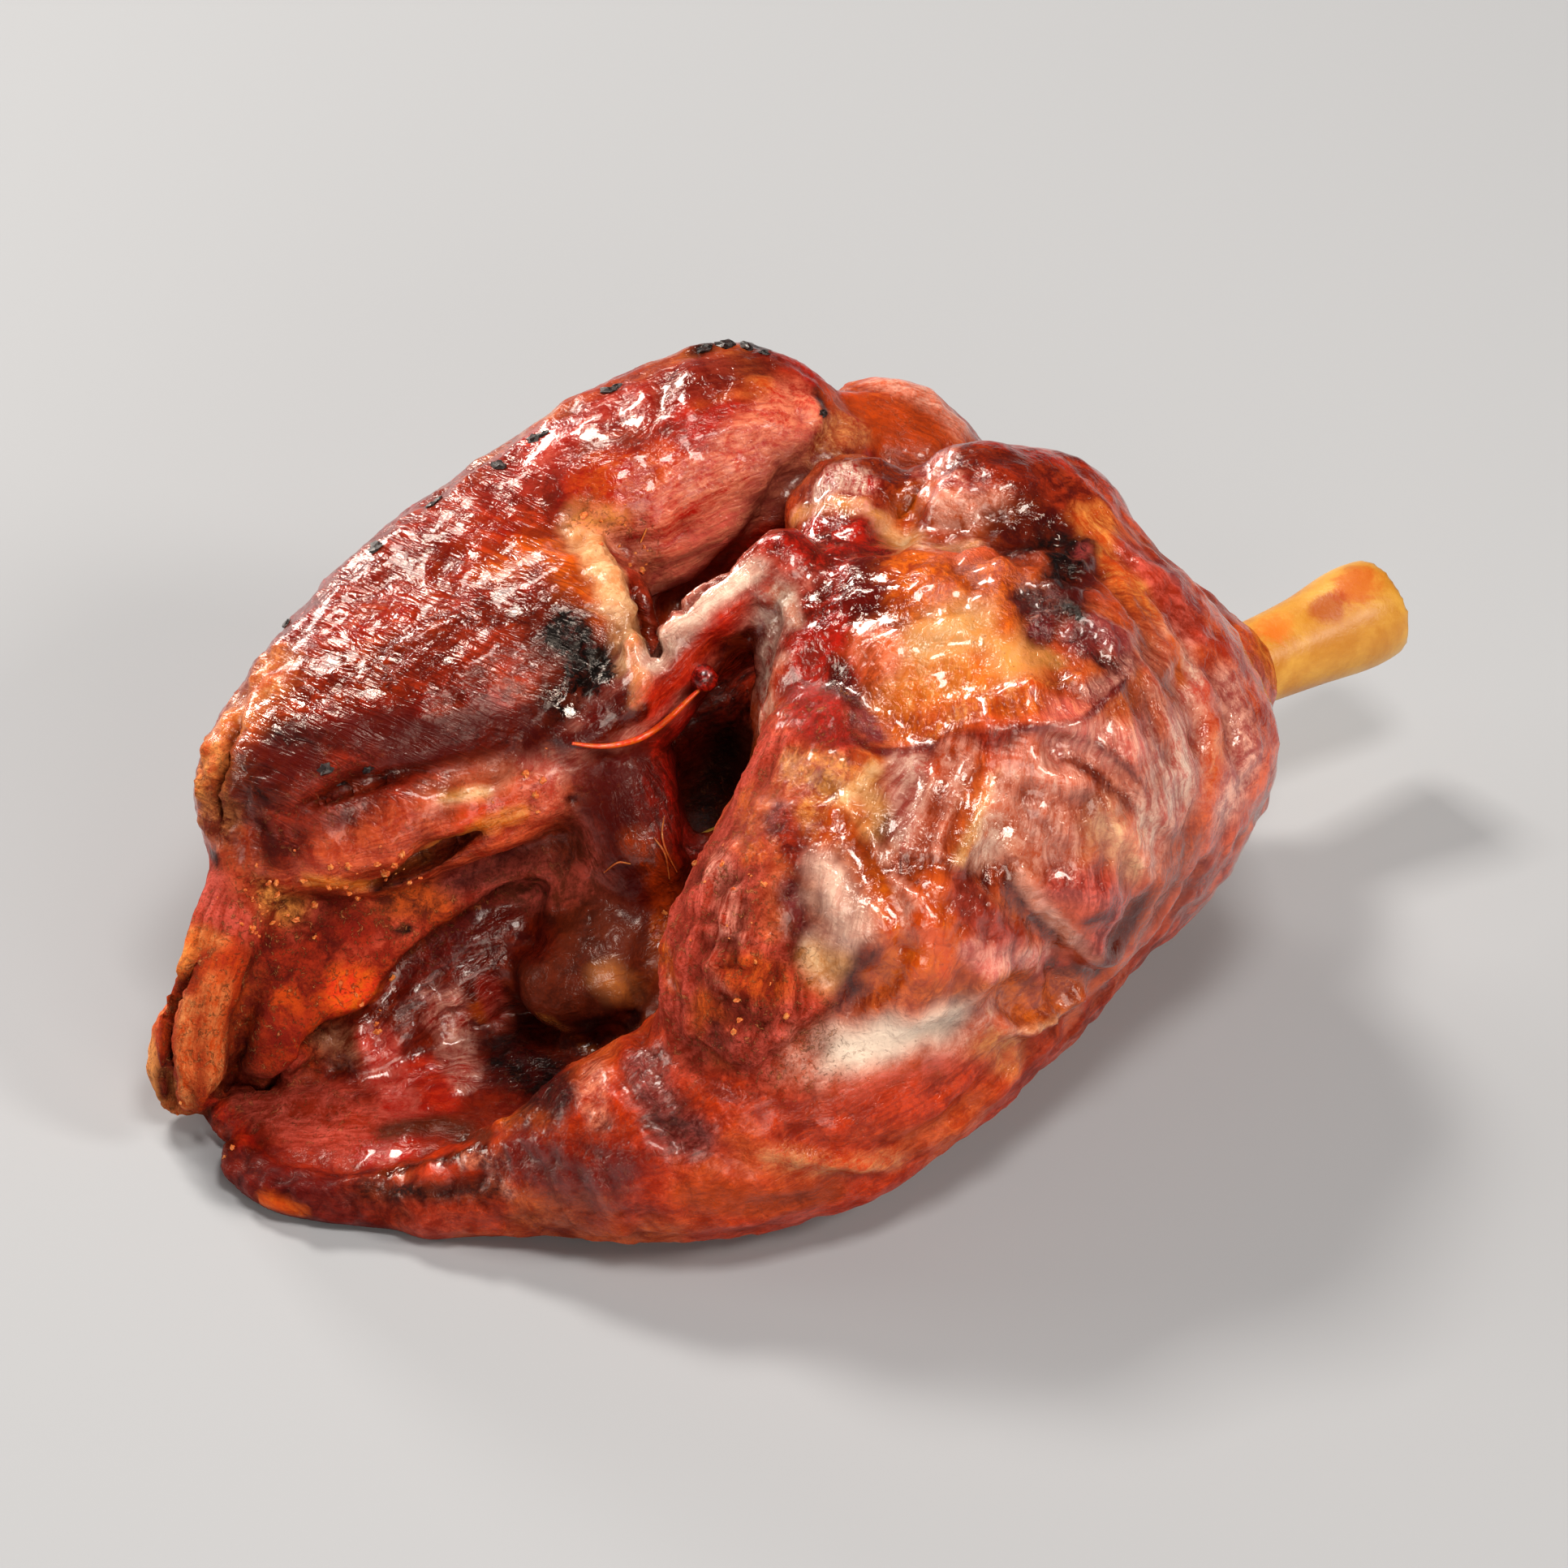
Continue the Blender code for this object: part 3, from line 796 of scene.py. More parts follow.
# %% Colours and masks from the muscles
DRIFT = 2.0
SEEP = 1.0
EDGE, EDGE_SOFT = 0.9, 2.0
drift = np.array([DRIFT * noise(points / 3.5 + 9.1 * n, 70 + n) for n in range(len(NAMES))])
nearness = muscle_gaps + drift
nearness = np.exp(-(nearness - nearness.min(0)) / SEEP)
nearness /= nearness.sum(0)


def by_muscle(values):
    """Each muscle's value or colour, shared out over the points near it."""
    return nearness.T @ np.array(values, float)


ordered = np.sort(muscle_gaps, axis=0)
clarity = np.clip((ordered[1] - ordered[0] - EDGE) / EDGE_SOFT, 0, 1)
light = by_muscle([swatch(TRAITS[name][0]) for name in NAMES])
dark = by_muscle([swatch(TRAITS[name][1]) for name in NAMES])
MASKS = {mask: by_muscle([TRAITS[name][2 + n] for name in NAMES])
         for n, mask in enumerate(("gloss", "strands", "pleats", "ripple", "streak", "dry"))}
MASKS["crust"] = np.zeros(len(points))
MASKS["wrinkle"] = np.zeros(len(points))
MASKS["clear"] = clarity
print("masks:", ", ".join(MASKS))

# %% [markdown]
# ## Paint stroke by stroke
# Strokes lay more pairs of swatches down, like brushwork, and paint where it is charred, wet or
# wrinkled. Their edges are ragged, because nothing on a roast ends in a clean line. Patterns alone
# could brown the meat evenly, but on a real roast each colour has its place: skin that stood up in
# the oven is charred, and juices are where they ran. Some strokes also paint highlights, and shade
# in pits, gaps and the deep pocket.

# %% Brush for colours
PAINT_REACH = 30.0
wobble = 0.5 * layered(points / 6.0, 51, 2) + 0.35 * layered(points / 2.4, 61, 2)
wobble += 0.3 * noise(fibre * (0.6, 0.6, 0.1), 67)


def gap_to_stroke(line):
    """Distance of every point of the mesh to a stroke, far ones left at a large number."""
    gaps = np.full(len(points), 1e3)
    near = near_line(points, line, PAINT_REACH)
    for start, end in zip(line[:-1], line[1:]):
        run = end - start
        offset = points[near] - start
        t = np.clip(offset @ run / (run @ run + 1e-9), 0, 1)
        gaps[near] = np.minimum(gaps[near], np.linalg.norm(offset - t[:, None] * run, axis=1))
    return gaps


def lay(colours, share):
    """Moves the light and the dark colour of each point towards a pair of swatches."""
    for layer, name in zip((light, dark), colours):
        layer += (swatch(name) - layer) * share


def paint(path, width, colours=(), soft=0.45, amount=1.0, ragged=0.6, **masks):
    """Lays a pair of swatches and any masks along a stroke, with a soft and ragged edge."""
    gaps = gap_to_stroke(stroke(path)) + ragged * width * wobble
    edge = np.clip((width * (1 + soft) - gaps) / (2 * soft * width), 0, 1)
    share = (amount * edge * edge * (3 - 2 * edge))[:, None]
    lay(colours, share)
    for name, value in masks.items():
        MASKS[name] += (value - MASKS[name]) * share[:, 0]


# %% [markdown]
# ## Mottles
# Browning is never even. Patches of another pair of swatches go over all of the meat, over the
# pleated skin only or over the rippled ridge only, and over the far side, which has few folds of
# its own and would look like plastic without them.

# %% Mottles all over
MOTTLE_FULL = 0.5


def mottle(scale, seed, colours, amount, where=1.0, low=0.0):
    """Patches of another pair of swatches all over, or only where a mask is high."""
    patch = layered(points / scale, seed, 3) + 0.25 * wobble
    share = amount * where * np.clip((patch - low) / (MOTTLE_FULL - low), 0, 1)
    lay(colours, share[:, None])


FAR_SIDE = np.clip((points[:, 1] - 28) / 16, 0, 1)
mottle(11, 301, ("sienna", "maroon"), 0.4)
mottle(7, 311, ("rose", "brick"), 0.4, MASKS["pleats"])
mottle(9, 321, ("honey", "copper"), 0.45, MASKS["pleats"])
mottle(5, 331, ("mahogany", "oxblood"), 0.5, MASKS["ripple"])
mottle(6, 341, ("scarlet", "mahogany"), 0.35, MASKS["ripple"])
mottle(15, 351, ("crimson", "wine"), 0.75, FAR_SIDE)
mottle(12, 361, ("honey", "rust"), 0.6, FAR_SIDE, 0.1)
print("points on the far side:", int((FAR_SIDE > 0.5).sum()))

# %% [markdown]
# ## The ridge's colours
# The ridge is the driest skin and stood nearest to the heat: deep red on top, near black in its
# folds, with spots of char, a pale frayed rim at the cleft and a tanned left end. A pale sheen along
# its upper edge is painted.

# %% Paint the ridge
# a painted pale sheen along the ridge's upper edge
paint([(-74, 52), (-64, 61), (-52, 71), (-40, 79)], 7, ("mauve", "mahogany"), amount=0.35)
paint([(-66, 50), (-54, 54), (-44, 56)], 7, ("sienna", "maroon"), amount=0.6)
paint([(-60, 58), (-50, 64), (-42, 70)], 5, ("rust", "crimson"), amount=0.6)
paint([(-81, 42), (-78, 47), (-74, 51)], 4.5, ("tan", "umber"), ripple=0.3, gloss=0.45, wrinkle=0.9,
      amount=0.8)
paint([(-83, 37), (-81, 31)], 4, ("tan", "umber"), gloss=0.4, wrinkle=1.0, dry=0.5)
paint([(-77, 36), (-73, 31), (-73, 27)], 3.6, ("umber", "char"), gloss=0.5, wrinkle=0.8, crust=0.4)
paint([(-72, 39), (-60, 41), (-46, 41), (-34, 43)], 4.6, ("maroon", "oxblood"), gloss=0.5)
paint([(-73, 43), (-70, 42)], 2.0, ("char", "tar"), soft=0.8, amount=0.8, crust=0.7)
paint([(-67, 41), (-62, 39)], 1.7, ("char", "tar"), soft=0.8, amount=0.7, crust=0.65)
paint([(-66, 37), (-64, 35.5)], 1.1, ("char", "tar"), soft=0.7, crust=0.6)
paint([(-48, 42), (-40, 41)], 1.6, ("wine", "char"), amount=0.7, crust=0.4)
paint([(-40, 66), (-35, 69), (-30, 65), (-27, 58)], 3.4, ("amber", "rust"), soft=0.8, amount=0.9)
paint([(-38, 52), (-35, 50)], 2.5, ("scarlet", "brick"), soft=0.8, amount=0.7)
paint([(-34, 60), (-35, 53), (-33, 46)], 3.0, ("bark", "char"), soft=0.8, amount=0.7)
paint([(-30.3, 56.5), (-28.7, 53.5), (-27.6, 50.5)], 4.2, ("char", "tar"), crust=1.0, gloss=0.55,
      ragged=0.5)
paint([(-33.4, 48), (-31.5, 45.5)], 2.0, ("char", "tar"), soft=0.7, crust=0.85, gloss=1.0)
paint([(-27, 44), (-22, 47)], 3.6, ("wine", "oxblood"), gloss=0.9)
paint([(-28.5, 71), (-25, 65.5), (-23.2, 60), (-21.6, 55)], 3.3, ("cream", "tan"), gloss=0.55,
      ragged=0.9, ripple=0.0, strands=0.6, wrinkle=0.8)
paint([(-21.4, 55), (-20.6, 50), (-20.8, 45)], 1.8, ("blush", "tan"), gloss=0.9, ragged=0.4)
paint([(-28, 73), (-23, 72), (-20, 69.5)], 2.6, ("blush", "honey"), gloss=0.5, dry=0.6, strands=1.0)
paint([(-84, 36), (-80, 42), (-74, 50)], 4.0, ("honey", "copper"), soft=0.8, amount=0.7)
paint([(-34, 84), (-22, 90), (-10, 95)], 4.5, ("rose", "crimson"), gloss=1.0, amount=0.8)
paint([(-14, 93), (-4, 96)], 4, ("mahogany", "maroon"), gloss=1.0, amount=0.8)
paint([(-26, 79), (-20, 78), (-16, 80)], 4, ("copper", "crimson"), gloss=0.9, amount=0.8)
paint([(-22, 68), (-15, 73.5), (-7, 80.5), (2, 90)], 4.2, ("blush", "crimson"), streak=0.8, gloss=0.6,
      strands=0.6)
paint([(-17, 65), (-9, 70), (-1, 78), (5, 86)], 3.4, ("blush", "rose"), streak=0.8, gloss=0.5,
      strands=0.9)
paint([(-12, 97.5), (-8, 98.5), (-3, 97.5)], 2.0, ("char", "tar"), soft=0.8, crust=0.8, gloss=0.8)
paint([(5.5, 91), (6.5, 84)], 1.3, ("tar", "char"), amount=0.9, crust=0.6)

# %% [markdown]
# ## The tail and the knobs
# Behind the cleft the skin is tight and shiny over two knobs. Their tops are dark and their pleats
# nearly white, and the edges that turn up carry painted white highlights.

# %% Paint the tail and the knobs
paint([(8, 93), (18, 92), (25, 87)], 3.5, ("pink", "salmon"), gloss=0.8)
paint([(12, 94), (16, 94)], 1.3, ("mahogany", "wine"), soft=0.8, crust=0.3)
paint([(21, 91.8), (25, 88.5)], 1.2, ("mahogany", "wine"), soft=0.8, crust=0.3)
paint([(10, 88), (20, 86)], 5, ("rust", "sienna"), gloss=0.6)
paint([(6, 84), (10, 86)], 3, ("tan", "brick"))
paint([(8, 80), (12, 81), (16, 79.5), (17, 76)], 3.6, ("sienna", "maroon"), gloss=1.0)
# painted white highlights on the left knob's upturned edge
paint([(6, 77), (8, 80), (11, 78)], 2.4, ("ivory", "crimson"), gloss=1.0, streak=1.0)
paint([(2, 73.5), (7, 75), (12, 74), (15, 71.5)], 1.6, ("pink", "honey"), gloss=0.8, ragged=0.4)
paint([(16, 71), (18, 68.5)], 2.6, ("cream", "honey"), soft=0.8, gloss=0.9)
paint([(18, 72), (20, 75.5), (22, 78)], 2.8, ("amber", "rust"), soft=0.7, gloss=0.9)
# painted white highlights on the right knob's upturned edge
paint([(21, 79.5), (25, 81), (28, 77.5)], 2.4, ("pink", "crimson"), gloss=1.0, streak=1.0, wrinkle=0.7)
paint([(29, 81.5), (35, 79.5), (41, 76), (46, 70)], 4.4, ("sienna", "maroon"), gloss=0.95)
paint([(30, 77.5), (37, 75)], 3.0, ("rust", "mahogany"), gloss=0.95)
paint([(24.5, 73.5), (28, 73), (31, 74)], 3.0, ("pink", "copper"), gloss=1.0, wrinkle=0.9)
# a painted white highlight at the foot of the pleats
paint([(23.5, 69.5), (27, 69.5)], 2.2, ("pink", "honey"), gloss=1.0)
paint([(32, 71), (36, 73.5)], 2.6, ("amber", "sienna"), gloss=0.95)
paint([(30, 80), (38, 77), (44, 72)], 3.6, ("brick", "maroon"), soft=0.8, gloss=0.8, amount=0.85)
paint([(45, 72), (49, 65), (53, 57), (56, 52)], 3.6, ("honey", "rust"), streak=1.0, pleats=1.0)
paint([(51, 68), (55, 63), (59, 57)], 3.4, ("rose", "brick"), streak=1.0, wrinkle=0.5)
paint([(55, 66), (60, 60)], 1.6, ("mauve", "plum"), streak=1.0)

# %% [markdown]
# ## The top of the lobe
# The lobe's top has burst: a hollow of pale fat with wet amber edges, and dark sticky crust beside
# it. Its left edge, along the cleft, is the reddest and the wettest part of the hock, and the white
# highlights on it are painted.

# %% Paint the top of the lobe
paint([(-2, 68), (6, 70), (12, 68), (15, 62), (8, 61), (2, 56), (6, 48)], 5.6, ("crimson", "maroon"),
      gloss=1.0, streak=0.3)
# painted white-pink highlights along the lobe's left edge, over its red
paint([(-4, 66), (-2, 61), (0, 65)], 3.0, ("rose", "brick"), gloss=1.0, amount=0.8)
paint([(-2.6, 62), (-2.4, 54), (-2.8, 46)], 3.0, ("ivory", "rose"), soft=0.8, gloss=1.0, streak=0.5,
      ragged=1.0, wrinkle=0.5)
paint([(0, 52), (-1, 47)], 1.8, ("ivory", "blush"), soft=0.8, gloss=1.0, ragged=1.2)
paint([(0, 62), (1.5, 58)], 1.6, ("ivory", "blush"), soft=0.8, gloss=1.0, ragged=1.2)
paint([(-4, 45), (-5.2, 40)], 2.0, ("blush", "rust"), soft=0.8, gloss=0.7)
paint([(0, 50), (1, 44)], 2.6, ("salmon", "brick"), gloss=0.9)
paint([(12, 66), (16, 62), (19, 60)], 2.8, ("maroon", "oxblood"), gloss=0.85)
paint([(10, 62), (15, 60), (18, 58)], 2.6, ("wine", "oxblood"), gloss=1.0, wrinkle=0.5)
paint([(1, 55.5), (8, 55.5)], 1.9, ("crimson", "mahogany"), gloss=1.0)
paint([(3, 50), (5, 45), (7, 41)], 3.8, ("crimson", "mahogany"), gloss=0.75)
paint([(8, 49.5), (10, 47), (11, 44)], 2.0, ("wine", "oxblood"), gloss=1.0)
paint([(13, 55), (16, 53), (18, 51)], 2.8, ("blush", "copper"), soft=0.8, gloss=0.9)
paint([(18, 66), (24, 64.5), (32, 64), (34, 60), (20, 60)], 4.2, ("amber", "sienna"), gloss=1.0)
paint([(22, 54), (26, 57), (31, 56), (33, 53)], 4.2, ("tallow", "honey"), soft=0.8, gloss=0.8,
      streak=0.2, pleats=0.2)
paint([(15, 46), (20, 48.5), (27, 50)], 2.8, ("honey", "amber"), soft=0.6, gloss=1.0, streak=0.3,
      pleats=0.3)
paint([(15, 42.5), (19, 42.5)], 2.4, ("amber", "sienna"), soft=0.7, gloss=1.0, pleats=0.3)
paint([(32, 57), (33, 60)], 2.2, ("amber", "sienna"), soft=0.8, gloss=1.0)
paint([(36, 53), (39, 52.5)], 2.0, ("tan", "olive"), gloss=0.9)
paint([(33, 69), (38, 71), (43, 66), (41, 61)], 3.8, ("maroon", "oxblood"), gloss=1.0, wrinkle=0.6)
paint([(35, 69), (38, 68.5), (41, 69), (40, 64)], 2.6, ("char", "tar"), soft=0.7, crust=0.9, gloss=1.0,
      ragged=1.0)
paint([(42, 66.5), (43.5, 68)], 0.9, ("mauve", "plum"), gloss=1.0)
paint([(35, 61), (38, 59), (37, 57)], 2.8, ("plum", "oxblood"), wrinkle=0.8, gloss=1.0)
paint([(41, 60), (43, 58.5)], 1.7, ("char", "tar"), soft=0.7, crust=0.9, gloss=1.0)
paint([(43, 56), (47, 56), (50, 53)], 2.8, ("mauve", "plum"), wrinkle=1.0, gloss=0.9)
paint([(44, 53.5), (49, 51.5)], 1.3, ("plum", "char"), soft=0.7, crust=0.3, wrinkle=0.8, gloss=0.9)
# a painted pink highlight
paint([(44.5, 47.5), (49, 50.3), (51, 52.5)], 1.7, ("pink", "mauve"), gloss=1.0, wrinkle=0.5)
paint([(38.5, 45.3), (43, 45.5)], 1.8, ("blush", "rose"), gloss=1.0, wrinkle=0.5)
paint([(24, 43.5), (30, 45.5), (36, 46.5)], 1.8, ("amber", "sienna"), gloss=1.0)
paint([(13, 47), (13, 52), (12, 57)], 1.3, ("rust", "maroon"), soft=0.8, gloss=0.9, amount=0.7)
paint([(20.5, 41), (24, 44.3), (29, 46.6), (35, 48.8), (42, 50)], 0.9, ("honey", "rust"), gloss=1.0,
      ragged=0.4)
paint([(10.5, 41), (13, 39.5), (17, 39), (20.5, 40.2)], 1.0, ("plum", "wine"), gloss=0.9)
paint([(33, 42), (40, 42.6), (44, 44), (47, 47), (50, 49)], 0.8, ("plum", "wine"), gloss=0.9)
paint([(17, 38), (21, 39.3), (26, 40.3), (32, 41.2)], 1.6, ("brick", "maroon"), soft=0.7, gloss=0.4,
      ragged=0.8)
paint([(11.5, 44.5), (13, 41.5)], 1.6, ("mauve", "plum"), gloss=1.0, wrinkle=0.5)

# %% [markdown]
# ## The lobe's skin
# Below the hollow the skin is stretched over the round muscle in fans of pale and brown streaks.
# The streaks themselves come from the material, and these strokes say how pale or brown they are.

# %% Paint the skin of the lobe
paint([(18, 36), (18, 31), (19, 26)], 3.4, ("ivory", "rose"), streak=1.0)
paint([(25, 38), (22, 30), (20, 24)], 2.6, ("pink", "rust"), streak=1.0)
paint([(23.5, 36), (21.5, 29), (20, 25)], 0.8, ("rust", "sienna"), soft=0.7, amount=0.8)
paint([(28.5, 38), (26, 31), (23.5, 25)], 0.9, ("copper", "sienna"), soft=0.7, amount=0.9)
paint([(31, 35), (28, 28), (25.5, 23)], 1.1, ("cream", "honey"), soft=0.6, gloss=0.8, ragged=0.4)
paint([(33, 34), (31, 28), (28, 23)], 2.6, ("ivory", "blush"), streak=1.0)
paint([(38, 34), (36, 28), (40, 25)], 5.0, ("pink", "salmon"), soft=0.8, streak=1.0)
paint([(31, 35), (36, 32.5), (43, 31.5)], 0.8, ("rust", "sienna"), soft=0.7, amount=0.6)
paint([(36, 30), (40, 26), (43, 22)], 0.8, ("brick", "sienna"), soft=0.8, amount=0.5, wrinkle=0.6)
paint([(42, 40), (50, 40), (55, 42)], 3.2, ("pink", "rose"), streak=1.0, soft=0.8)
paint([(44, 35), (50, 30), (54, 24)], 3.0, ("pink", "salmon"), streak=1.0, soft=0.8, amount=0.8)
paint([(41, 38), (45, 36), (48, 33.3), (51, 30), (53.5, 27)], 0.8, ("sienna", "maroon"), ragged=0.3,
      amount=0.9)
paint([(46, 40), (50, 36.5), (53, 32)], 0.7, ("brick", "maroon"), ragged=0.3, amount=0.8)
paint([(46.5, 28), (50, 25.5), (51, 23)], 3.0, ("cream", "blush"), soft=0.8, gloss=0.8, streak=0.6)
paint([(56, 51), (58, 42), (56, 32)], 5.6, ("ivory", "rose"), soft=0.9, streak=1.0)
paint([(56.5, 55), (57.5, 49)], 1.2, ("amber", "copper"), soft=0.7, streak=1.0)
paint([(54, 46), (56, 40)], 1.0, ("copper", "rust"), soft=0.7, amount=0.8)
paint([(50, 60), (54, 54), (56, 48)], 3.2, ("copper", "sienna"), soft=0.8, amount=0.8)
paint([(64, 48), (66, 40), (64, 31)], 3.2, ("pink", "mauve"), soft=0.8, streak=0.9)
paint([(59, 26), (54, 18), (50, 12)], 3.4, ("copper", "sienna"), soft=0.8, gloss=0.8)
# a painted highlight on the amber skin
paint([(52, 25), (53.5, 21)], 1.2, ("pink", "copper"), gloss=1.0, ragged=1.0)

# %% Paint the folds at the lobe's foot
paint([(14, 23.5), (20, 22.3), (26, 21), (31, 21)], 1.7, ("rust", "maroon"), soft=0.7, wrinkle=0.5)
paint([(20, 20), (24, 18), (26, 14)], 2.8, ("copper", "rust"), wrinkle=0.7, gloss=0.7)
paint([(27, 18), (30, 14), (33, 11)], 3.4, ("rose", "brick"), gloss=0.7, wrinkle=0.6, streak=0.9)
paint([(31, 21.3), (34, 18), (37, 14.5), (39.5, 11.8)], 1.5, ("sienna", "maroon"), soft=0.7, gloss=0.9)
# a painted white highlight along the crest of the fold
paint([(34.3, 20.5), (37.3, 16.5), (40, 13.6), (43.5, 10.6), (45.5, 9.4)], 1.3, ("pink", "blush"),
      gloss=1.0, ragged=0.4)
paint([(40, 20), (45, 19), (48, 16), (46, 12)], 3.2, ("rose", "mahogany"), soft=0.8, gloss=0.95)
paint([(43.8, 14.8), (46.5, 15.3)], 1.2, ("plum", "oxblood"), soft=0.8, gloss=1.0)
paint([(52, 17), (49, 13), (46.5, 9)], 1.8, ("bark", "maroon"), soft=0.8, gloss=0.9)
paint([(38, 8.4), (42, 6.8), (46, 6)], 1.8, ("brick", "bark"), soft=0.7, gloss=0.95)
# a painted highlight round the rim of the amber dimple
paint([(30, 1.5), (33, -0.8), (37, -0.6), (40, 1)], 0.9, ("cream", "honey"), gloss=1.0, ragged=0.4)
paint([(41, 0), (45, 5), (50, 10)], 1.2, ("copper", "rust"), gloss=0.9)
paint([(21, 12), (23, 8.5), (26, 7)], 2.4, ("copper", "rust"), soft=0.8, gloss=0.8)
# a painted white highlight on the small pleats
paint([(27, 10.5), (30, 8.5)], 2.0, ("pink", "rose"), gloss=0.95, wrinkle=0.6)
paint([(32, 9), (37, 9.5)], 1.8, ("pink", "rose"), soft=0.8, gloss=0.9)

# %% [markdown]
# ## The tendon, the front roll and the front knob
# A tendon runs down the lobe's left side in a wet amber valley. Under it a pale band of fat crosses
# the front roll, and the knob beside it is bare, dry meat in strands.

# %% Paint the tendon
paint([(2, 37), (6, 36), (5, 31)], 3.4, ("honey", "sienna"), gloss=1.0, streak=0.6)
paint([(5, 35), (8, 33.5)], 1.4, ("olive", "umber"), soft=0.7, gloss=1.0)
paint([(13, 37), (11.5, 35), (9, 33), (9, 30), (11, 27.5), (9, 25.5)], 1.1, ("cream", "honey"),
      gloss=1.0, wrinkle=0.5, ragged=0.4)
paint([(8, 29), (11, 24), (13, 20), (16, 15), (17, 11)], 2.3, ("amber", "rust"), soft=0.6, gloss=1.0,
      streak=0.4)
paint([(13, 27), (14.5, 24)], 1.3, ("pink", "blush"), gloss=0.9)
paint([(12.5, 33), (13.5, 30.5), (13, 28)], 1.8, ("cream", "honey"), soft=0.8, gloss=0.9)
paint([(16, 21), (17.5, 18), (18.5, 14)], 1.3, ("pink", "salmon"), gloss=0.9, ragged=0.8)
paint([(20, 15), (21, 12)], 1.8, ("salmon", "rust"), gloss=0.8, wrinkle=0.5)
paint([(-1, 30), (1, 26), (3, 23)], 2.6, ("brick", "maroon"), gloss=0.7, strands=0.6)
paint([(1, 20), (2, 15), (3, 11)], 2.2, ("plum", "oxblood"), soft=0.8, gloss=0.8)
# pale fat, under a painted white highlight
paint([(6.5, 21), (8, 16), (8, 12)], 3.4, ("ivory", "pink"), soft=0.9, gloss=0.8, streak=0.5)
paint([(5, 9), (8, 7.5)], 2.4, ("cream", "honey"), soft=0.9, gloss=0.7)

# %% Paint the front roll and the front knob
paint([(12, 10), (10, 5), (5, 0), (3, -3)], 1.7, ("sienna", "maroon"), soft=0.7, gloss=0.7)
paint([(13, 7), (18, 8.5), (24, 7)], 1.8, ("amber", "rust"), soft=0.8, gloss=0.8)
paint([(4, -6.5), (11, -4), (18, -2), (25, -0.6), (32, 0.5)], 4.4, ("pink", "salmon"), soft=0.9,
      gloss=0.8, streak=0.4)
paint([(9, -3.8), (15, -1.8), (20, -0.6), (24, 0)], 3.2, ("ivory", "ivory"), soft=0.9, gloss=0.9,
      streak=0.2, ragged=0.6)
paint([(8, -10.5), (14, -9), (22, -7)], 2.2, ("rose", "rust"), soft=0.9, gloss=0.7)
paint([(31, 4.5), (35, 3), (40, 4)], 3.6, ("amber", "sienna"), soft=0.6, gloss=1.0, streak=0.3,
      pleats=0.3)
paint([(29, -3), (33, -5)], 2.6, ("honey", "copper"), soft=0.8, gloss=0.8)
paint([(0, -12), (10, -13), (20, -11), (27, -8)], 3.4, ("ember", "deep"), soft=0.8, gloss=0.6)
paint([(-2, -19), (6, -21), (16, -20)], 1.8, ("tan", "ember"), soft=0.8, gloss=0.6)
paint([(-14, -24), (-4, -26), (6, -25)], 3.0, ("rust", "sienna"), gloss=0.5)
paint([(-12, 18), (-10, 8), (-6, 0)], 7, wrinkle=1.0)
paint([(-10, 24), (-8, 14), (-9, 6)], 2.4, ("pink", "brick"), soft=0.8, amount=0.6, streak=1.0)
paint([(-6, 32), (-5, 25)], 2.4, ("amber", "brick"), gloss=0.7, dry=0.6, ragged=1.0)
paint([(-8, 8), (-2, 6)], 3.0, ("copper", "brick"), dry=0.9)
paint([(-12, 2), (-10, -4)], 3.0, ("copper", "sienna"), dry=0.6)
paint([(-10, -3), (-4, -5)], 3.0, ("rose", "brick"), gloss=0.6)

# %% [markdown]
# ## The inside of the hock
# The layers of the cut end differ from each other more than the skin does: pink and pale on top,
# dry and crumbly at the edges, and wet and dark towards the knuckle. The hole beside it, the pits and
# the gap under the pale band are painted nearly black as painted shade, and some wet spots get
# painted highlights. A layer that had one colour would look like clay, so each gets several strokes.

# %% Paint the layers of the cut end
paint([(-72, 28), (-66, 33), (-62, 37)], 4.0, ("brick", "maroon"), gloss=0.5, dry=0.3)
paint([(-64, 25), (-58, 27), (-52, 30)], 3.6, ("salmon", "brick"), soft=0.8)
# the pale crest of the band, with a painted highlight along it
paint([(-50, 33), (-46, 34.5), (-41, 35.5)], 2.6, ("blush", "salmon"), soft=0.8)
paint([(-49, 33), (-43, 33.6)], 0.9, ("cream", "honey"), ragged=0.4, soft=0.8)
paint([(-46, 30), (-39, 31.5)], 1.6, ("scarlet", "rust"), soft=0.8)
paint([(-68, 21), (-60, 21), (-53, 24.4), (-46, 27.8), (-38, 30.8)], 1.3, ("honey", "amber"), gloss=0.7)
paint([(-62.5, 31), (-62, 30)], 1.1, ("mahogany", "oxblood"))
# painted shade: black in a pit
paint([(-31.2, 33), (-30.6, 33)], 1.0, ("tar", "tar"))
# painted shade in the gap under the pale band
paint([(-59, 20.2), (-54, 22), (-50, 24)], 1.2, ("umber", "char"), ragged=0.3, gloss=0.3)
paint([(-74, 19), (-71, 17)], 2.4, ("honey", "umber"), soft=0.7, crust=0.3, wrinkle=0.8, dry=1.0)
paint([(-76, 12), (-70, 9), (-66, 13)], 4.0, ("brick", "maroon"), dry=0.9)
paint([(-64, 16), (-61, 14)], 3.0, ("brick", "mahogany"), dry=0.8)
paint([(-56, 18), (-50, 19)], 2.6, ("copper", "umber"), dry=0.6, soft=0.8)
paint([(-55.5, 13.6), (-54, 14)], 0.7, ("char", "tar"))
paint([(-47, 22), (-38, 25)], 2.8, ("mauve", "maroon"), soft=0.8, dry=0.2)
paint([(-44, 15), (-36, 16)], 3.4, ("maroon", "oxblood"), soft=0.8)
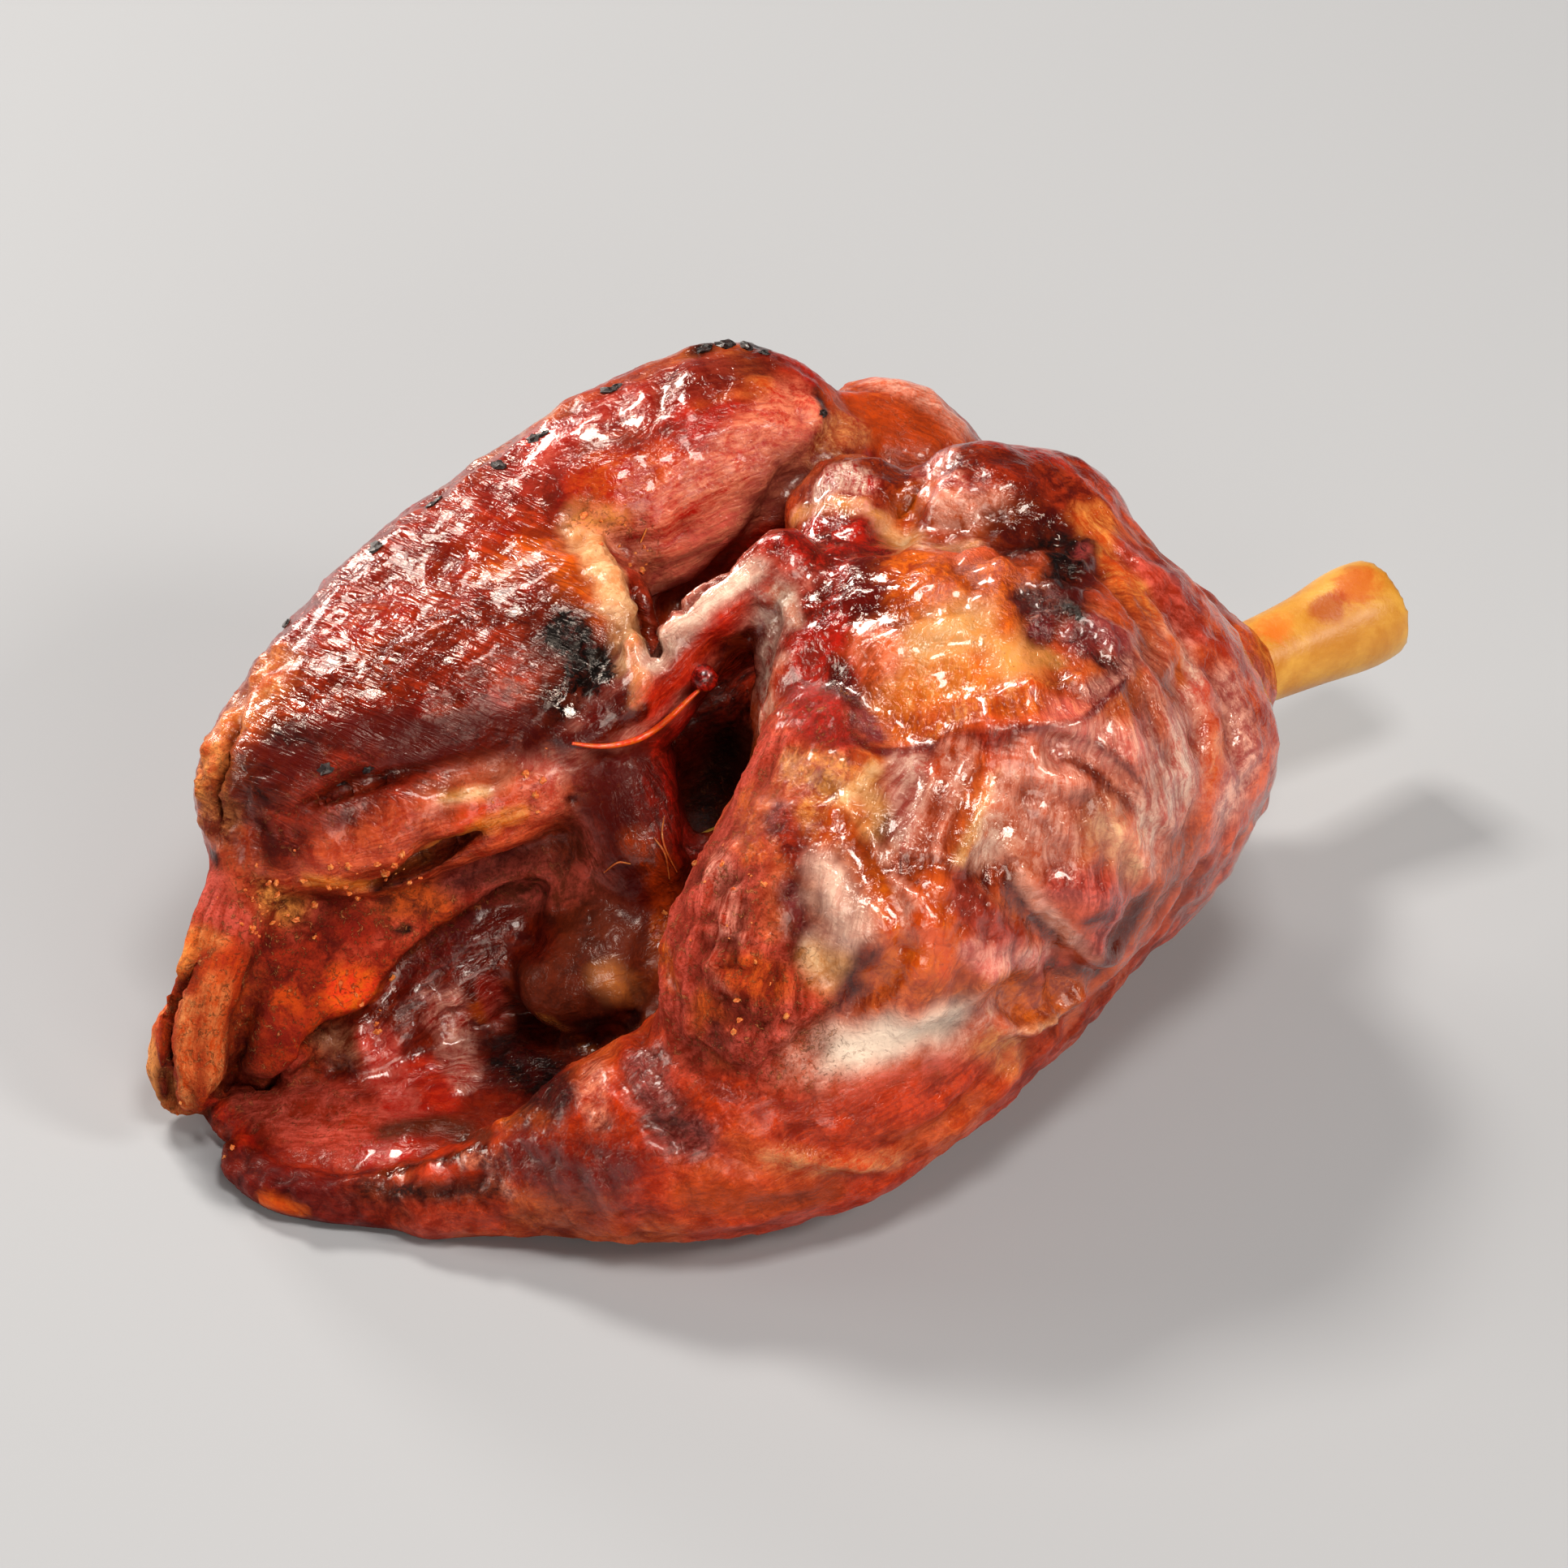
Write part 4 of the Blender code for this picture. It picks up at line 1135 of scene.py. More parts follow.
paint([(-63, 5.4), (-61.5, 4.6)], 3.7, ("amber", "scarlet"), ragged=0.35, soft=0.35, gloss=0.4)
paint([(-66, -2), (-62, -3)], 2.6, ("ash", "umber"), gloss=0.5, soft=0.7)
# painted shade: black in a pit
paint([(-64.8, -6.2), (-64.2, -6)], 0.9, ("tar", "tar"), ragged=0.2)

# %% Paint the floor of the cut end, its dark hole and the knuckle
paint([(-75, -10), (-68, -13), (-62, -15)], 5.0, ("rose", "brick"), gloss=0.35, soft=0.7, streak=0.9,
      dry=0.4)
paint([(-59, -2), (-57, -8), (-54, -13)], 2.6, ("rose", "crimson"), gloss=0.8, streak=1.0)
paint([(-60, -18), (-55, -18)], 2.6, ("brick", "crimson"), gloss=0.8)
paint([(-82.5, -11), (-79.5, -14), (-76, -18.5), (-73, -22)], 1.5, ("scarlet", "crimson"), gloss=1.0,
      ragged=0.4)
paint([(-77, -17.5), (-73, -22), (-66, -23)], 1.8, ("wine", "oxblood"), gloss=1.0)
paint([(-75, -25), (-70, -26.5)], 1.3, ("amber", "rust"), gloss=0.9)
paint([(-81, -14), (-76, -21), (-68, -24.5), (-58, -24), (-46, -22)], 4.5, wrinkle=0.9, gloss=0.35,
      ragged=0.8)
# a painted pink-white highlight down the inside
paint([(-49, 3), (-47, -2), (-48, -8)], 2.8, ("pink", "crimson"), gloss=1.0, ragged=1.2, wrinkle=0.8,
      streak=1.0)
paint([(-52, -6), (-49, -11)], 2.2, ("scarlet", "crimson"), gloss=1.0, streak=1.0)
paint([(-44.5, 2.5), (-43.5, 1.5)], 1.3, ("amber", "rust"), gloss=0.9)
paint([(-43, 6), (-41, 0)], 1.6, ("rose", "crimson"), gloss=0.9)
paint([(-50, 10), (-42, 12), (-35, 12)], 3.6, ("mahogany", "oxblood"), gloss=0.6, streak=1.0)
# painted shade: the dark hole beside the knuckle
paint([(-40, -3), (-36, -7), (-34, -11)], 4.6, ("oxblood", "tar"), gloss=0.5, streak=0.3)
paint([(-40, -13), (-35, -15)], 1.7, ("amber", "bark"), soft=0.8, gloss=0.7)
paint([(-30, 24), (-29, 15), (-28, 7)], 5.5, ("umber", "bark"), soft=0.9, gloss=0.5, streak=0.3)
paint([(-25, 20), (-24, 15), (-24, 10)], 2.4, ("dusk", "umber"), soft=0.9, gloss=0.4, streak=0.3)
# a painted highlight on the knuckle
paint([(-26, 7), (-23, 5)], 2.0, ("honey", "tan"), soft=0.9, gloss=0.8, streak=0.2)
paint([(-35, 1), (-31, -1), (-28, -3)], 1.0, ("olive", "umber"), gloss=1.0)
# painted shadow under the knuckle
paint([(-28, 0), (-22, 1)], 1.6, ("char", "tar"), gloss=0.4)
paint([(-40, 20), (-32, 20), (-26, 24), (-28, 27)], 2.8, ("rose", "dusk"), soft=0.8, gloss=0.5)
paint([(-57, -15), (-50, -14.5), (-43, -16)], 1.9, ("umber", "bark"), soft=0.7, gloss=0.6)
paint([(-58, -21), (-50, -19.3), (-43, -18)], 0.9, ("umber", "char"), soft=0.7, gloss=0.9, ragged=0.4)
# painted pink-white highlights on the bottom folds
paint([(-46, -19.4), (-41, -19.4)], 1.0, ("blush", "wine"), gloss=1.0, ragged=1.0)
paint([(-42, -22), (-40, -24)], 1.1, ("blush", "wine"), gloss=1.0, ragged=1.0)
paint([(-60, -23.5), (-50, -24), (-42, -23.5)], 1.5, ("umber", "char"), soft=0.8, gloss=0.4)
paint([(-38, -18), (-30, -22), (-24, -21)], 4.6, ("mahogany", "wine"), soft=0.7, gloss=0.7, streak=0.8,
      wrinkle=0.5)
paint([(-28, -6), (-27, -14)], 1.8, ("blush", "brick"), gloss=0.9, strands=0.8, streak=1.0)
paint([(-20, -6), (-18, -12), (-14, -16)], 3.6, ("mauve", "maroon"), gloss=0.6, strands=0.8, streak=0.8)

# %% Paint the pocket and the strap
paint([(-25, 36), (-23, 28), (-20, 21)], 5, ("maroon", "oxblood"), gloss=0.45, streak=0.6, soft=0.8)
paint([(-21, 26), (-18, 23), (-17, 18)], 2.0, ("rust", "umber"), soft=0.8, gloss=0.9)
paint([(-18, 14), (-16, 6)], 1.6, ("amber", "brick"), gloss=0.8, dry=0.4)
paint([(-7, 53), (-8.5, 49), (-10, 45)], 4.5, ("scarlet", "maroon"), soft=0.8, gloss=0.6, streak=1.0)
# painted shade: the deep pocket painted near black
paint([(-8, 41), (-9.5, 36), (-12, 30)], 4.5, ("char", "tar"), soft=0.8, gloss=0.0, ragged=0.3)
paint([(-17, 42), (-16.5, 34), (-14.5, 26)], 3.4, ("crimson", "maroon"), soft=0.9, gloss=0.5,
      streak=1.0)
paint([(-7.5, 60), (-10.5, 55), (-15, 49.5), (-18, 46.5)], 3.6, ("scarlet", "crimson"), soft=0.6,
      gloss=0.7, ragged=0.3)
paint([(-5.5, 56), (-8.5, 52), (-12.5, 47.5)], 1.8, ("wine", "oxblood"), soft=0.8, gloss=0.6,
      ragged=0.3)
# the strap's pale top edge, with a painted highlight along it
paint([(-5, 65), (-10, 61.4), (-15, 57.4), (-19, 52.4)], 2.0, ("ivory", "pink"), soft=0.6, gloss=0.95,
      ragged=0.9)
paint([(-20, 45), (-26, 42), (-33, 41)], 1.4, ("maroon", "oxblood"), gloss=0.9)

# %% [markdown]
# ## The flap
# The flap's two layers are thin, so they dried out first: tan, with a golden edge and browned folds.

# %% Paint the flap
paint([(-85, 24), (-82, 18), (-79, 15)], 3.4, ("rose", "brick"), soft=0.8, gloss=0.5, streak=0.8)
paint([(-83, 25), (-82, 24)], 0.9, ("oxblood", "char"))
paint([(-84.5, 13), (-81, 12)], 1.6, ("tan", "copper"), wrinkle=0.7)
paint([(-90.8, 4), (-91.5, -2), (-90.4, -10)], 2.0, ("honey", "tan"), soft=0.7, streak=0.5)
paint([(-85.6, 12), (-88.5, 6)], 1.5, ("honey", "copper"), soft=0.7, streak=0.5)
paint([(-89.6, -4), (-89.4, -10)], 0.9, ("brick", "maroon"), soft=0.7)
paint([(-86, 3), (-87, -4), (-86.6, -11)], 1.5, ("tan", "rust"), soft=0.7, streak=0.8, dry=0.8)
paint([(-80, 10), (-79, 4)], 2.4, ("rust", "brick"), soft=0.8, streak=0.6)
paint([(-82, 6), (-82, -2), (-81.5, -8)], 1.8, ("tan", "rust"), soft=0.7, streak=0.8)
paint([(-88.5, -13.5), (-86, -14.5)], 1.4, ("amber", "copper"), gloss=0.9)

# %% [markdown]
# ## Lumps and strands
# A roast has no smooth surface. Noise moves each point a little along the skin's own direction:
# broad lumps, small bumps, round pleats along the fibres where there is skin, strands where the
# meat is bare, and small beads where it is wet. A Displace modifier could do one of these at a
# time, but it knows nothing of the masks that say where each belongs.

# %% Patterns that move the skin
normals = clay.slope(points)
strands = folded(fibre * (0.42, 0.42, 0.08), 11) * clarity
fine_pleats = folded(fibre * (0.40, 0.40, 0.07), 23)
pleats = (folded(fibre * (0.15, 0.15, 0.030), 21) + 0.35 * fine_pleats) * clarity
wrinkles = folded(points / 3.6 + 0.3 * fibre * (1, 1, 0.2) / 4, 35)
lumps = layered(points / 10.0, 31, 2)
bumps = layered(points / 3.4, 41, 2)
beads = noise(points / 2.2, 47)

# %% Move the points
LUMP_HEIGHT, BUMP_HEIGHT, WET_BUMP_HEIGHT, BEAD_HEIGHT = 0.8, 0.30, 0.30, 0.20
STRAND_HEIGHT, PLEAT_HEIGHT, WRINKLE_HEIGHT, CRUST_HEIGHT = 0.55, 0.75, 0.9, 0.5
FULL_RELIEF_ABOVE = 4.0
relief = LUMP_HEIGHT * lumps + (BUMP_HEIGHT + WET_BUMP_HEIGHT * MASKS["gloss"]) * bumps
relief += BEAD_HEIGHT * MASKS["gloss"] * (1 - MASKS["ripple"]) * beads
relief += STRAND_HEIGHT * strands * MASKS["strands"]
relief += PLEAT_HEIGHT * pleats * MASKS["pleats"]
relief += WRINKLE_HEIGHT * wrinkles * MASKS["wrinkle"]
relief += CRUST_HEIGHT * bumps * MASKS["crust"]
relief *= np.clip(points[:, 2] / FULL_RELIEF_ABOVE, 0, 1)
points = points + normals * relief[:, None]
points[:, 2] = np.maximum(points[:, 2], 0.0)
print("pushed in and out, mm:", round(float(relief.min()), 2), round(float(relief.max()), 2))

# %% [markdown]
# ## Painted shade in the folds
# Creases, deep places and the low side of each bump are painted darker, as painted shade on top of
# what the lamps shade, and the high side of each bump is painted a little lighter, as a painted
# highlight.

# %% Painted shade where the skin lies deep
def closed_in(reach, soft):
    """1 where other skin is near in front of a point, and 0 where the point is open."""
    ahead = clay.value(points + reach * normals)
    return np.clip((reach - ahead) / soft, 0, 1)[:, None]


# painted shade in creases and in deep places
crease_shade = closed_in(reach=2.4, soft=2.2)
deep_shade = closed_in(reach=7.0, soft=5.0)
light *= 1 - 0.35 * deep_shade
dark *= 1 - 0.50 * deep_shade
light += (0.70 * swatch("sienna") - light) * 0.75 * crease_shade
dark += (0.60 * swatch("maroon") - dark) * 0.85 * crease_shade
# painted shade in the low strands, pleats and wrinkles
sunk = 0.5 * strands * MASKS["strands"] + 0.5 * pleats * MASKS["pleats"]
hollow_shade = np.clip(-(sunk + 0.8 * wrinkles * MASKS["wrinkle"]), 0, 0.8)[:, None]
light += (dark - light) * hollow_shade
dark *= 1 - 0.5 * hollow_shade
# painted highlight on the high side of each bump, and painted shade on its low side
shade = np.clip(0.5 * lumps + 0.8 * bumps, -1, 1)[:, None]
light *= 1 + 0.16 * shade
dark *= 1 + 0.30 * shade
print("points in creases:", int((crease_shade > 0.5).sum()))

# %% [markdown]
# ## Handing the mesh over
# The points and quads become a Blender mesh in one go, which is far quicker than adding faces one by
# one. The two colours, the masks and the fibre places go with it as attributes, because a material
# can read those at every point without the skin being laid out flat, as a painted texture needs.

# %% The meat as an object
def to_object(name, places, faces):
    """A mesh from points in mm and quads, moved to the frame's own middle."""
    mesh = bpy.data.meshes.new(name)
    mesh.vertices.add(len(places))
    mesh.vertices.foreach_set("co", ((places - MIDDLE) * MM).astype(np.float32).ravel())
    mesh.loops.add(faces.size)
    mesh.loops.foreach_set("vertex_index", faces.astype(np.int32).ravel())
    mesh.polygons.add(len(faces))
    mesh.polygons.foreach_set("loop_start", np.arange(0, faces.size, faces.shape[1], dtype=np.int32))
    mesh.update(calc_edges=True)
    mesh.validate()
    mesh.shade_smooth()
    made = bpy.data.objects.new(name, mesh)
    bpy.context.scene.collection.objects.link(made)
    return made


meat = to_object("roasted_meat", points, quads)
opaque = np.ones(len(points))


def store(name, kind, field, values):
    """Keeps one value or colour for each point of the meat, where its material can read it."""
    layer = meat.data.attributes.new(name, kind, "POINT")
    layer.data.foreach_set(field, values.astype(np.float32).ravel())


store("light", "FLOAT_COLOR", "color", np.column_stack([light, opaque]))
store("dark", "FLOAT_COLOR", "color", np.column_stack([dark, opaque]))
MEAT_MASKS = ("gloss", "crust", "ripple", "streak", "dry", "clear")
for mask in MEAT_MASKS:
    store(mask, "FLOAT", "value", np.clip(MASKS[mask], 0, 1))
store("fibre", "FLOAT_VECTOR", "vector", fibre)
print(meat.name, [round(v * 1000, 1) for v in meat.dimensions])

# %% [markdown]
# ## Sums in a material
# A pattern in Blender is a chain of nodes. This small class lets Python write the chain as a sum:
# a socket is wrapped, and adding or multiplying it adds the Math node that does so.

# %% Sockets that can be added and multiplied
class Signal:
    """A socket of a node, or the result of a sum."""

    def __init__(self, paintbox, socket):
        self.paintbox, self.socket = paintbox, socket

    def maths(self, operation, *values):
        return self.paintbox.node("ShaderNodeMath", {"operation": operation}, dict(enumerate(values)))[0]

    def __add__(self, other):
        return self.maths("ADD", self, other)

    def __radd__(self, other):
        return self.maths("ADD", other, self)

    def __sub__(self, other):
        return self.maths("SUBTRACT", self, other)

    def __rsub__(self, other):
        return self.maths("SUBTRACT", other, self)

    def __mul__(self, other):
        return self.maths("MULTIPLY", self, other)

    def __rmul__(self, other):
        return self.maths("MULTIPLY", other, self)

    def __abs__(self):
        return self.maths("ABSOLUTE", self)

    def between(self, low, high):
        """0 up to low, 1 from high, and a soft step between them."""
        settings = {"interpolation_type": "SMOOTHSTEP"}
        return self.paintbox.node("ShaderNodeMapRange", settings, {0: self, 1: low, 2: high})[0]


# %% The nodes of one material
class Paintbox:
    """One material, its Principled shader and every node that is added to it."""

    def __init__(self, name, **fixed):
        self.material = bpy.data.materials.new(name)
        self.material.use_nodes = True
        self.tree = self.material.node_tree
        self.shader = self.tree.nodes["Principled BSDF"]
        for socket, value in fixed.items():
            self.shader.inputs[socket.replace("_", " ")].default_value = value

    def connect(self, value, socket):
        if isinstance(value, Signal):
            self.tree.links.new(value.socket, socket)
        else:
            socket.default_value = value

    def node(self, kind, settings=None, sockets=None):
        """Any node: its settings are set first, then its sockets. Gives its live outputs."""
        made = self.tree.nodes.new(kind)
        for name, value in (settings or {}).items():
            setattr(made, name, value)
        for name, value in (sockets or {}).items():
            self.connect(value, made.inputs[name])
        return [Signal(self, socket) for socket in made.outputs if socket.enabled]

    def attribute(self, name, output=2):
        """A value that the mesh keeps: output 0 is a colour, 1 a vector and 2 a number."""
        return self.node("ShaderNodeAttribute", {"attribute_name": name})[output]

    def place(self):
        """Where on the piece a point is, in mm."""
        return self.scaled(self.node("ShaderNodeTexCoord")[3], (1 / MM, 1 / MM, 1 / MM))

    def vector_maths(self, operation, *values):
        settings = {"operation": operation}
        return self.node("ShaderNodeVectorMath", settings, dict(enumerate(values)))

    def scaled(self, vector, by):
        return self.vector_maths("MULTIPLY", vector, by)[0]

    def mix(self, share, a, b):
        """Colour a where share is 0 and colour b where it is 1."""
        settings = {"data_type": "RGBA"}
        return self.node("ShaderNodeMix", settings, {0: share, 6: a, 7: b})[0]

    def grain(self, vector, scale, detail, roughness, distortion=0.0):
        values = {"Vector": vector, "Scale": scale, "Detail": detail, "Roughness": roughness,
                  "Distortion": distortion}
        return self.node("ShaderNodeTexNoise", {}, values)[0]

    def valley(self, pattern):
        """0 along the lines where a noise crosses its middle value, rising to either side."""
        return abs(pattern - 0.5) * 2.0

    def bump(self, height):
        """Bumps of a height in mm."""
        values = {"Strength": 1.0, "Distance": MM, "Height": height}
        return self.node("ShaderNodeBump", {}, values)[0]

    def finish(self, **sockets):
        for socket, value in sockets.items():
            self.connect(value, self.shader.inputs[socket.replace("_", " ")])
        return self.material

    def dull_where(self, wetness, colour, bump, roughness):
        """Mixes in a dull shader with the same colour and bumps, wherever wetness is low."""
        values = {"Base Color": colour, "Normal": bump, "Roughness": roughness, "Specular IOR Level": 0.10}
        dull = self.node("ShaderNodeBsdfPrincipled", {}, values)[0]
        mixed = self.node("ShaderNodeMixShader", {}, {0: wetness, 1: dull})[0]
        self.tree.links.new(self.shader.outputs[0], mixed.socket.node.inputs[2])
        self.tree.links.new(mixed.socket, self.tree.nodes["Material Output"].inputs["Surface"])


def plain(name):
    """A swatch as a shader colour."""
    return (*swatch(name), 1.0)


# %% [markdown]
# ## Roast meat
# The glaze is a wet coat over browned skin. Streaks follow the fibres, mottles do not, and small
# dark specks are where fat has spat and caught. One shader for all of it would leave dry meat with
# a grey haze, so a dull shader is mixed in where the meat is dry. The coat is smooth, and the bumps
# beneath it break the reflections into the small sparkles that make meat look juicy.

# %% Patterns of the meat
RIPPLE_WAYS = [(0.17, -0.05, -0.06), (0.40, 0.56, 0.72), (0.0, -0.24, 0.18)]
SWAY = (4.0, 4.0, 4.0)


def meat_patterns(box):
    """Every mask and pattern that the colour, the bumps and the gloss are mixed from."""
    skin = SimpleNamespace(**{mask: box.attribute(mask) for mask in MEAT_MASKS})
    place = box.place()
    sway = box.node("ShaderNodeTexNoise", {}, {"Vector": place, "Scale": 0.08, "Detail": 2.0})[1]
    along = box.vector_maths("MULTIPLY_ADD", sway, SWAY, box.attribute("fibre", 1))[0]
    skin.strands = box.grain(box.scaled(along, (1.0, 1.0, 0.11)), 1.1, 5, 0.68, 0.3) * skin.clear
    seams = box.grain(box.scaled(along, (1.0, 1.0, 0.30)), 0.75, 3, 0.6, 0.5)
    skin.seams = box.valley(seams) * skin.clear
    skin.hairs = box.valley(box.grain(box.scaled(along, (1.0, 1.0, 0.08)), 0.65, 3, 0.6, 0.4))
    level = [box.vector_maths("DOT_PRODUCT", place, way)[0] for way in RIPPLE_WAYS]
    turned = box.node("ShaderNodeCombineXYZ", {}, dict(enumerate(level)))[0]
    skin.waves = box.valley(box.grain(turned, 0.85, 2, 0.5, 0.8))
    skin.mottles = box.grain(place, 0.30, 6, 0.66, 0.6)
    skin.folds = box.grain(place, 0.62, 3, 0.5, 0.9)
    skin.fine = box.grain(place, 2.6, 3, 0.6, 0.3)
    skin.crumbs = box.grain(place, 1.3, 4, 0.7)
    skin.flakes = box.grain(place, 0.8, 5, 0.75, 1.4).between(0.56, 0.64)
    skin.bubbles = box.node("ShaderNodeTexVoronoi", {"feature": "SMOOTH_F1"},
                            {"Vector": place, "Scale": 0.55, "Smoothness": 0.6})[0]
    return skin


# %% Colour of the meat
def meat_colour(box, skin):
    """The two painted colours in streaks and mottles, lines, painted shade, specks, flakes and char."""
    light, dark = box.attribute("light", 0), box.attribute("dark", 0)
    tone = skin.strands * skin.streak + skin.mottles * (1.25 - skin.streak * skin.clear)
    tone = tone + skin.seams * 0.22 + (skin.fine - 0.5) * 0.30
    colour = box.mix(tone.between(0.47, 0.80), dark, light)
    wide_lines = (1.0 - skin.hairs.between(0.02, 0.16)) * skin.streak * skin.clear
    colour = box.mix(wide_lines * 0.35, colour, dark)
    thin_lines = (1.0 - skin.hairs.between(0.0, 0.06)) * skin.streak * skin.clear
    colour = box.mix(thin_lines * 0.30, colour, plain("maroon"))
    # painted shade in the low parts of the folds that the bump raises
    fold_shade = (1.0 - skin.folds.between(0.34, 0.54)) * (0.30 + skin.gloss * 0.25)
    colour = box.mix(fold_shade * (1.0 - skin.ripple * 0.5), colour, dark)
    # painted shade in the grooves of the ridge's ripples
    ripple_shade = (1.0 - skin.waves.between(0.04, 0.30)) * skin.ripple * 0.45
    colour = box.mix(ripple_shade, colour, plain("maroon"))
    colour = box.mix(skin.crumbs.between(0.60, 0.68) * 0.45, colour, plain("umber"))
    colour = box.mix(skin.flakes * skin.dry * 0.55, colour, plain("tan"))
    burnt = (skin.crust * 1.35 - skin.folds * 1.2 - skin.fine * 0.5).between(0.10, 0.55)
    return box.mix(burnt, colour, plain("tar"))


# %% Bumps of the meat
def meat_height(skin):
    """How far the fine relief stands up, in mm."""
    height = skin.seams * (1.0 - skin.ripple * 0.8) * 0.16
    height = height + skin.waves * skin.ripple * 0.27
    height = height + skin.strands * skin.streak * (0.12 + skin.gloss * 0.05)
    height = height + skin.folds * (0.15 + skin.gloss * 0.20) * (1.0 - skin.ripple * 0.45)
    height = height + skin.fine * 0.015
    height = height + skin.crumbs * skin.dry * 0.45 + skin.flakes * skin.dry * 0.30
    return height - skin.bubbles * skin.crust * 0.18


# %% Material of the meat
def meat_material():
    box = Paintbox("roast_meat", Coat_Roughness=0.06, Coat_IOR=1.5, IOR=1.45, Specular_IOR_Level=0.7,
                   Specular_Tint=(1.0, 0.88, 0.80, 1.0))
    skin = meat_patterns(box)
    colour = meat_colour(box, skin)
    bump = box.bump(meat_height(skin))
    uneven = skin.mottles - 0.5
    wetness = (skin.gloss + uneven * 0.9 - skin.dry * 0.4).between(0.25, 0.85)
    box.dull_where(wetness, colour, bump, 0.55 + skin.dry * 0.2)
    coat = skin.gloss * (1.0 - skin.ripple * 0.7) * (1.0 - skin.crust * 0.6) * 0.60
    rough = 0.27 - skin.gloss * 0.14 + uneven * 0.12
    return box.finish(Base_Color=colour, Roughness=rough, Coat_Weight=coat, Normal=bump)


meat.data.materials.append(meat_material())
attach(meat, "root")
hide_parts("hock_meat")
print("nodes in its material:", len(meat.active_material.node_tree.nodes))

# %% [markdown]
# ## The shank bone
# The bone runs right through the meat. It is seen twice: as a knuckle inside the cut end, and as the
# bare end that sticks out on the right, waisted and then flared, sawn off flat. A lathe shape would
# be too round and straight for a bone, so it is a path of tubes like the muscles, cut by a plane.

# %% Shape of the bone
BONE = [(-33, -19, 21, 2.0), (-31.5, -17.5, 21.2, 5), (-27, -13.5, 21.8, 7.3), (-20, -7.5, 23, 7.8),
        (-8, 2, 25, 7.6), (8, 12, 26, 6.5), (40, 32, 26, 6.1), (62, 47, 26, 6.0), (76, 56.5, 26, 6.7),
        (84, 62, 26.5, 7.8), (88, 65, 26.5, 7.3)]
BONE_STEP = 0.8
SAWN_AT, SAWN_WAY = (88, 65), (0.8, 0.6)
bone_clay = Clay((-44, -30, 8), (98, 76, 42), BONE_STEP)
bone_clay.add(BONE, 1)
x, y = bone_clay.axes[0][:, None, None], bone_clay.axes[1][None, :, None]
saw = (x - SAWN_AT[0]) * SAWN_WAY[0] + (y - SAWN_AT[1]) * SAWN_WAY[1]
bone_clay.far = np.maximum(bone_clay.far, saw)
bone = to_object("bare_bone", *skin_of(bone_clay))
print(bone.name, len(bone.data.polygons), [round(v * 1000, 1) for v in bone.dimensions])

# %% [markdown]
# ## Roasted bone
# Bone turns from cream to amber in the oven, and it is browned where meat or fat has stuck to it.
# Noise alone would put those spots anywhere, so each one has its place along the top, at the sawn
# tip and where the bone leaves the meat.

# %% Material of the bone
AMBER_BONE, PALE_BONE = (0.52, 0.20, 0.014, 1), (0.70, 0.36, 0.050, 1)
BONE_SPOTS = [
    # where it is browned, how far round, and the swatch
    ((64, 43, 32), 4.0, "rust"), ((70, 47, 33), 3.0, "amber"), ((82, 55, 34), 4.0, "rust"),
    ((78, 50.5, 34), 3.0, "brick"), ((56, 38, 26), 7.0, "rust"), ((87.5, 59, 26), 6.0, "tallow"),
    ((86.5, 59.5, 26.5), 3.2, "umber"),
]


def bone_material():
    box = Paintbox("roast_bone", Coat_Roughness=0.25, Coat_IOR=1.45)
    place = box.place()
    mottles = box.grain(place, 0.12, 5, 0.6, 0.3)
    fine = box.grain(place, 1.4, 4, 0.6)
    colour = box.mix(mottles.between(0.35, 0.68), AMBER_BONE, PALE_BONE)
    for spot, size, shade in BONE_SPOTS:
        gap = box.vector_maths("DISTANCE", place, spot)[0]
        ragged = gap * (1 / size) + (mottles - 0.5) * 1.6 + (fine - 0.5) * 0.5
        near = 1.0 - ragged.between(0.55, 1.25)
        colour = box.mix(near * 0.6, colour, plain(shade))
    return box.finish(Base_Color=colour, Roughness=0.32 + fine * 0.2, Coat_Weight=mottles * 0.3,
                      Normal=box.bump(fine * 0.1))


bone.data.materials.append(bone_material())
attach(bone, "root")
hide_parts("shank_bone")

# %% [markdown]
# ## Small things on the meat
# Each small thing is put down where the eye meets the skin, found by sending a ray at the finished
# mesh. They could be strewn by a particle system, but these have their places, and a joined mesh
# exports as it is.

# %% Places for small things
under = BVHTree.FromPolygons(points.tolist(), quads.tolist())
chance = np.random.default_rng(8)


def landing(across, up):
    """Where the eye meets the skin through a point of the board, and which way the skin faces there."""
    on_board = across * BOARD_ACROSS + up * BOARD_UP
    place, facing = under.ray_cast(Vector(EYE), Vector(on_board - EYE).normalized())[:2]
    if place is None:
        place, facing = under.find_nearest(Vector(on_board))[:2]
    return np.array(place), np.array(facing)


# %% Lumps
SUNK_IN = 0.1


def lump(place, facing, size, flat, rough, smooth=True):
    """One uneven lump that sits half in the skin."""
    bpy.ops.mesh.primitive_ico_sphere_add(subdivisions=2, radius=1.0)
    made = bpy.context.object
    shape = np.array([v.co for v in made.data.vertices])
    shape *= 1 + rough * chance.uniform(-1, 1, (len(shape), 1))
    shape *= size * np.array([1, chance.uniform(0.45, 0.9), flat])
    turn = np.array(Vector(facing).to_track_quat("Z", "X").to_matrix())
    spin = chance.uniform(0, math.tau)
    around = np.array([[math.cos(spin), -math.sin(spin), 0],
                       [math.sin(spin), math.cos(spin), 0],
                       [0, 0, 1]])
    shape = shape @ (turn @ around).T + place + SUNK_IN * size * flat * facing
    shape[:, 2] = np.maximum(shape[:, 2], 0.0)
    made.data.vertices.foreach_set("co", ((shape - MIDDLE) * MM).ravel())
    if smooth:
        made.data.shade_smooth()
    return made


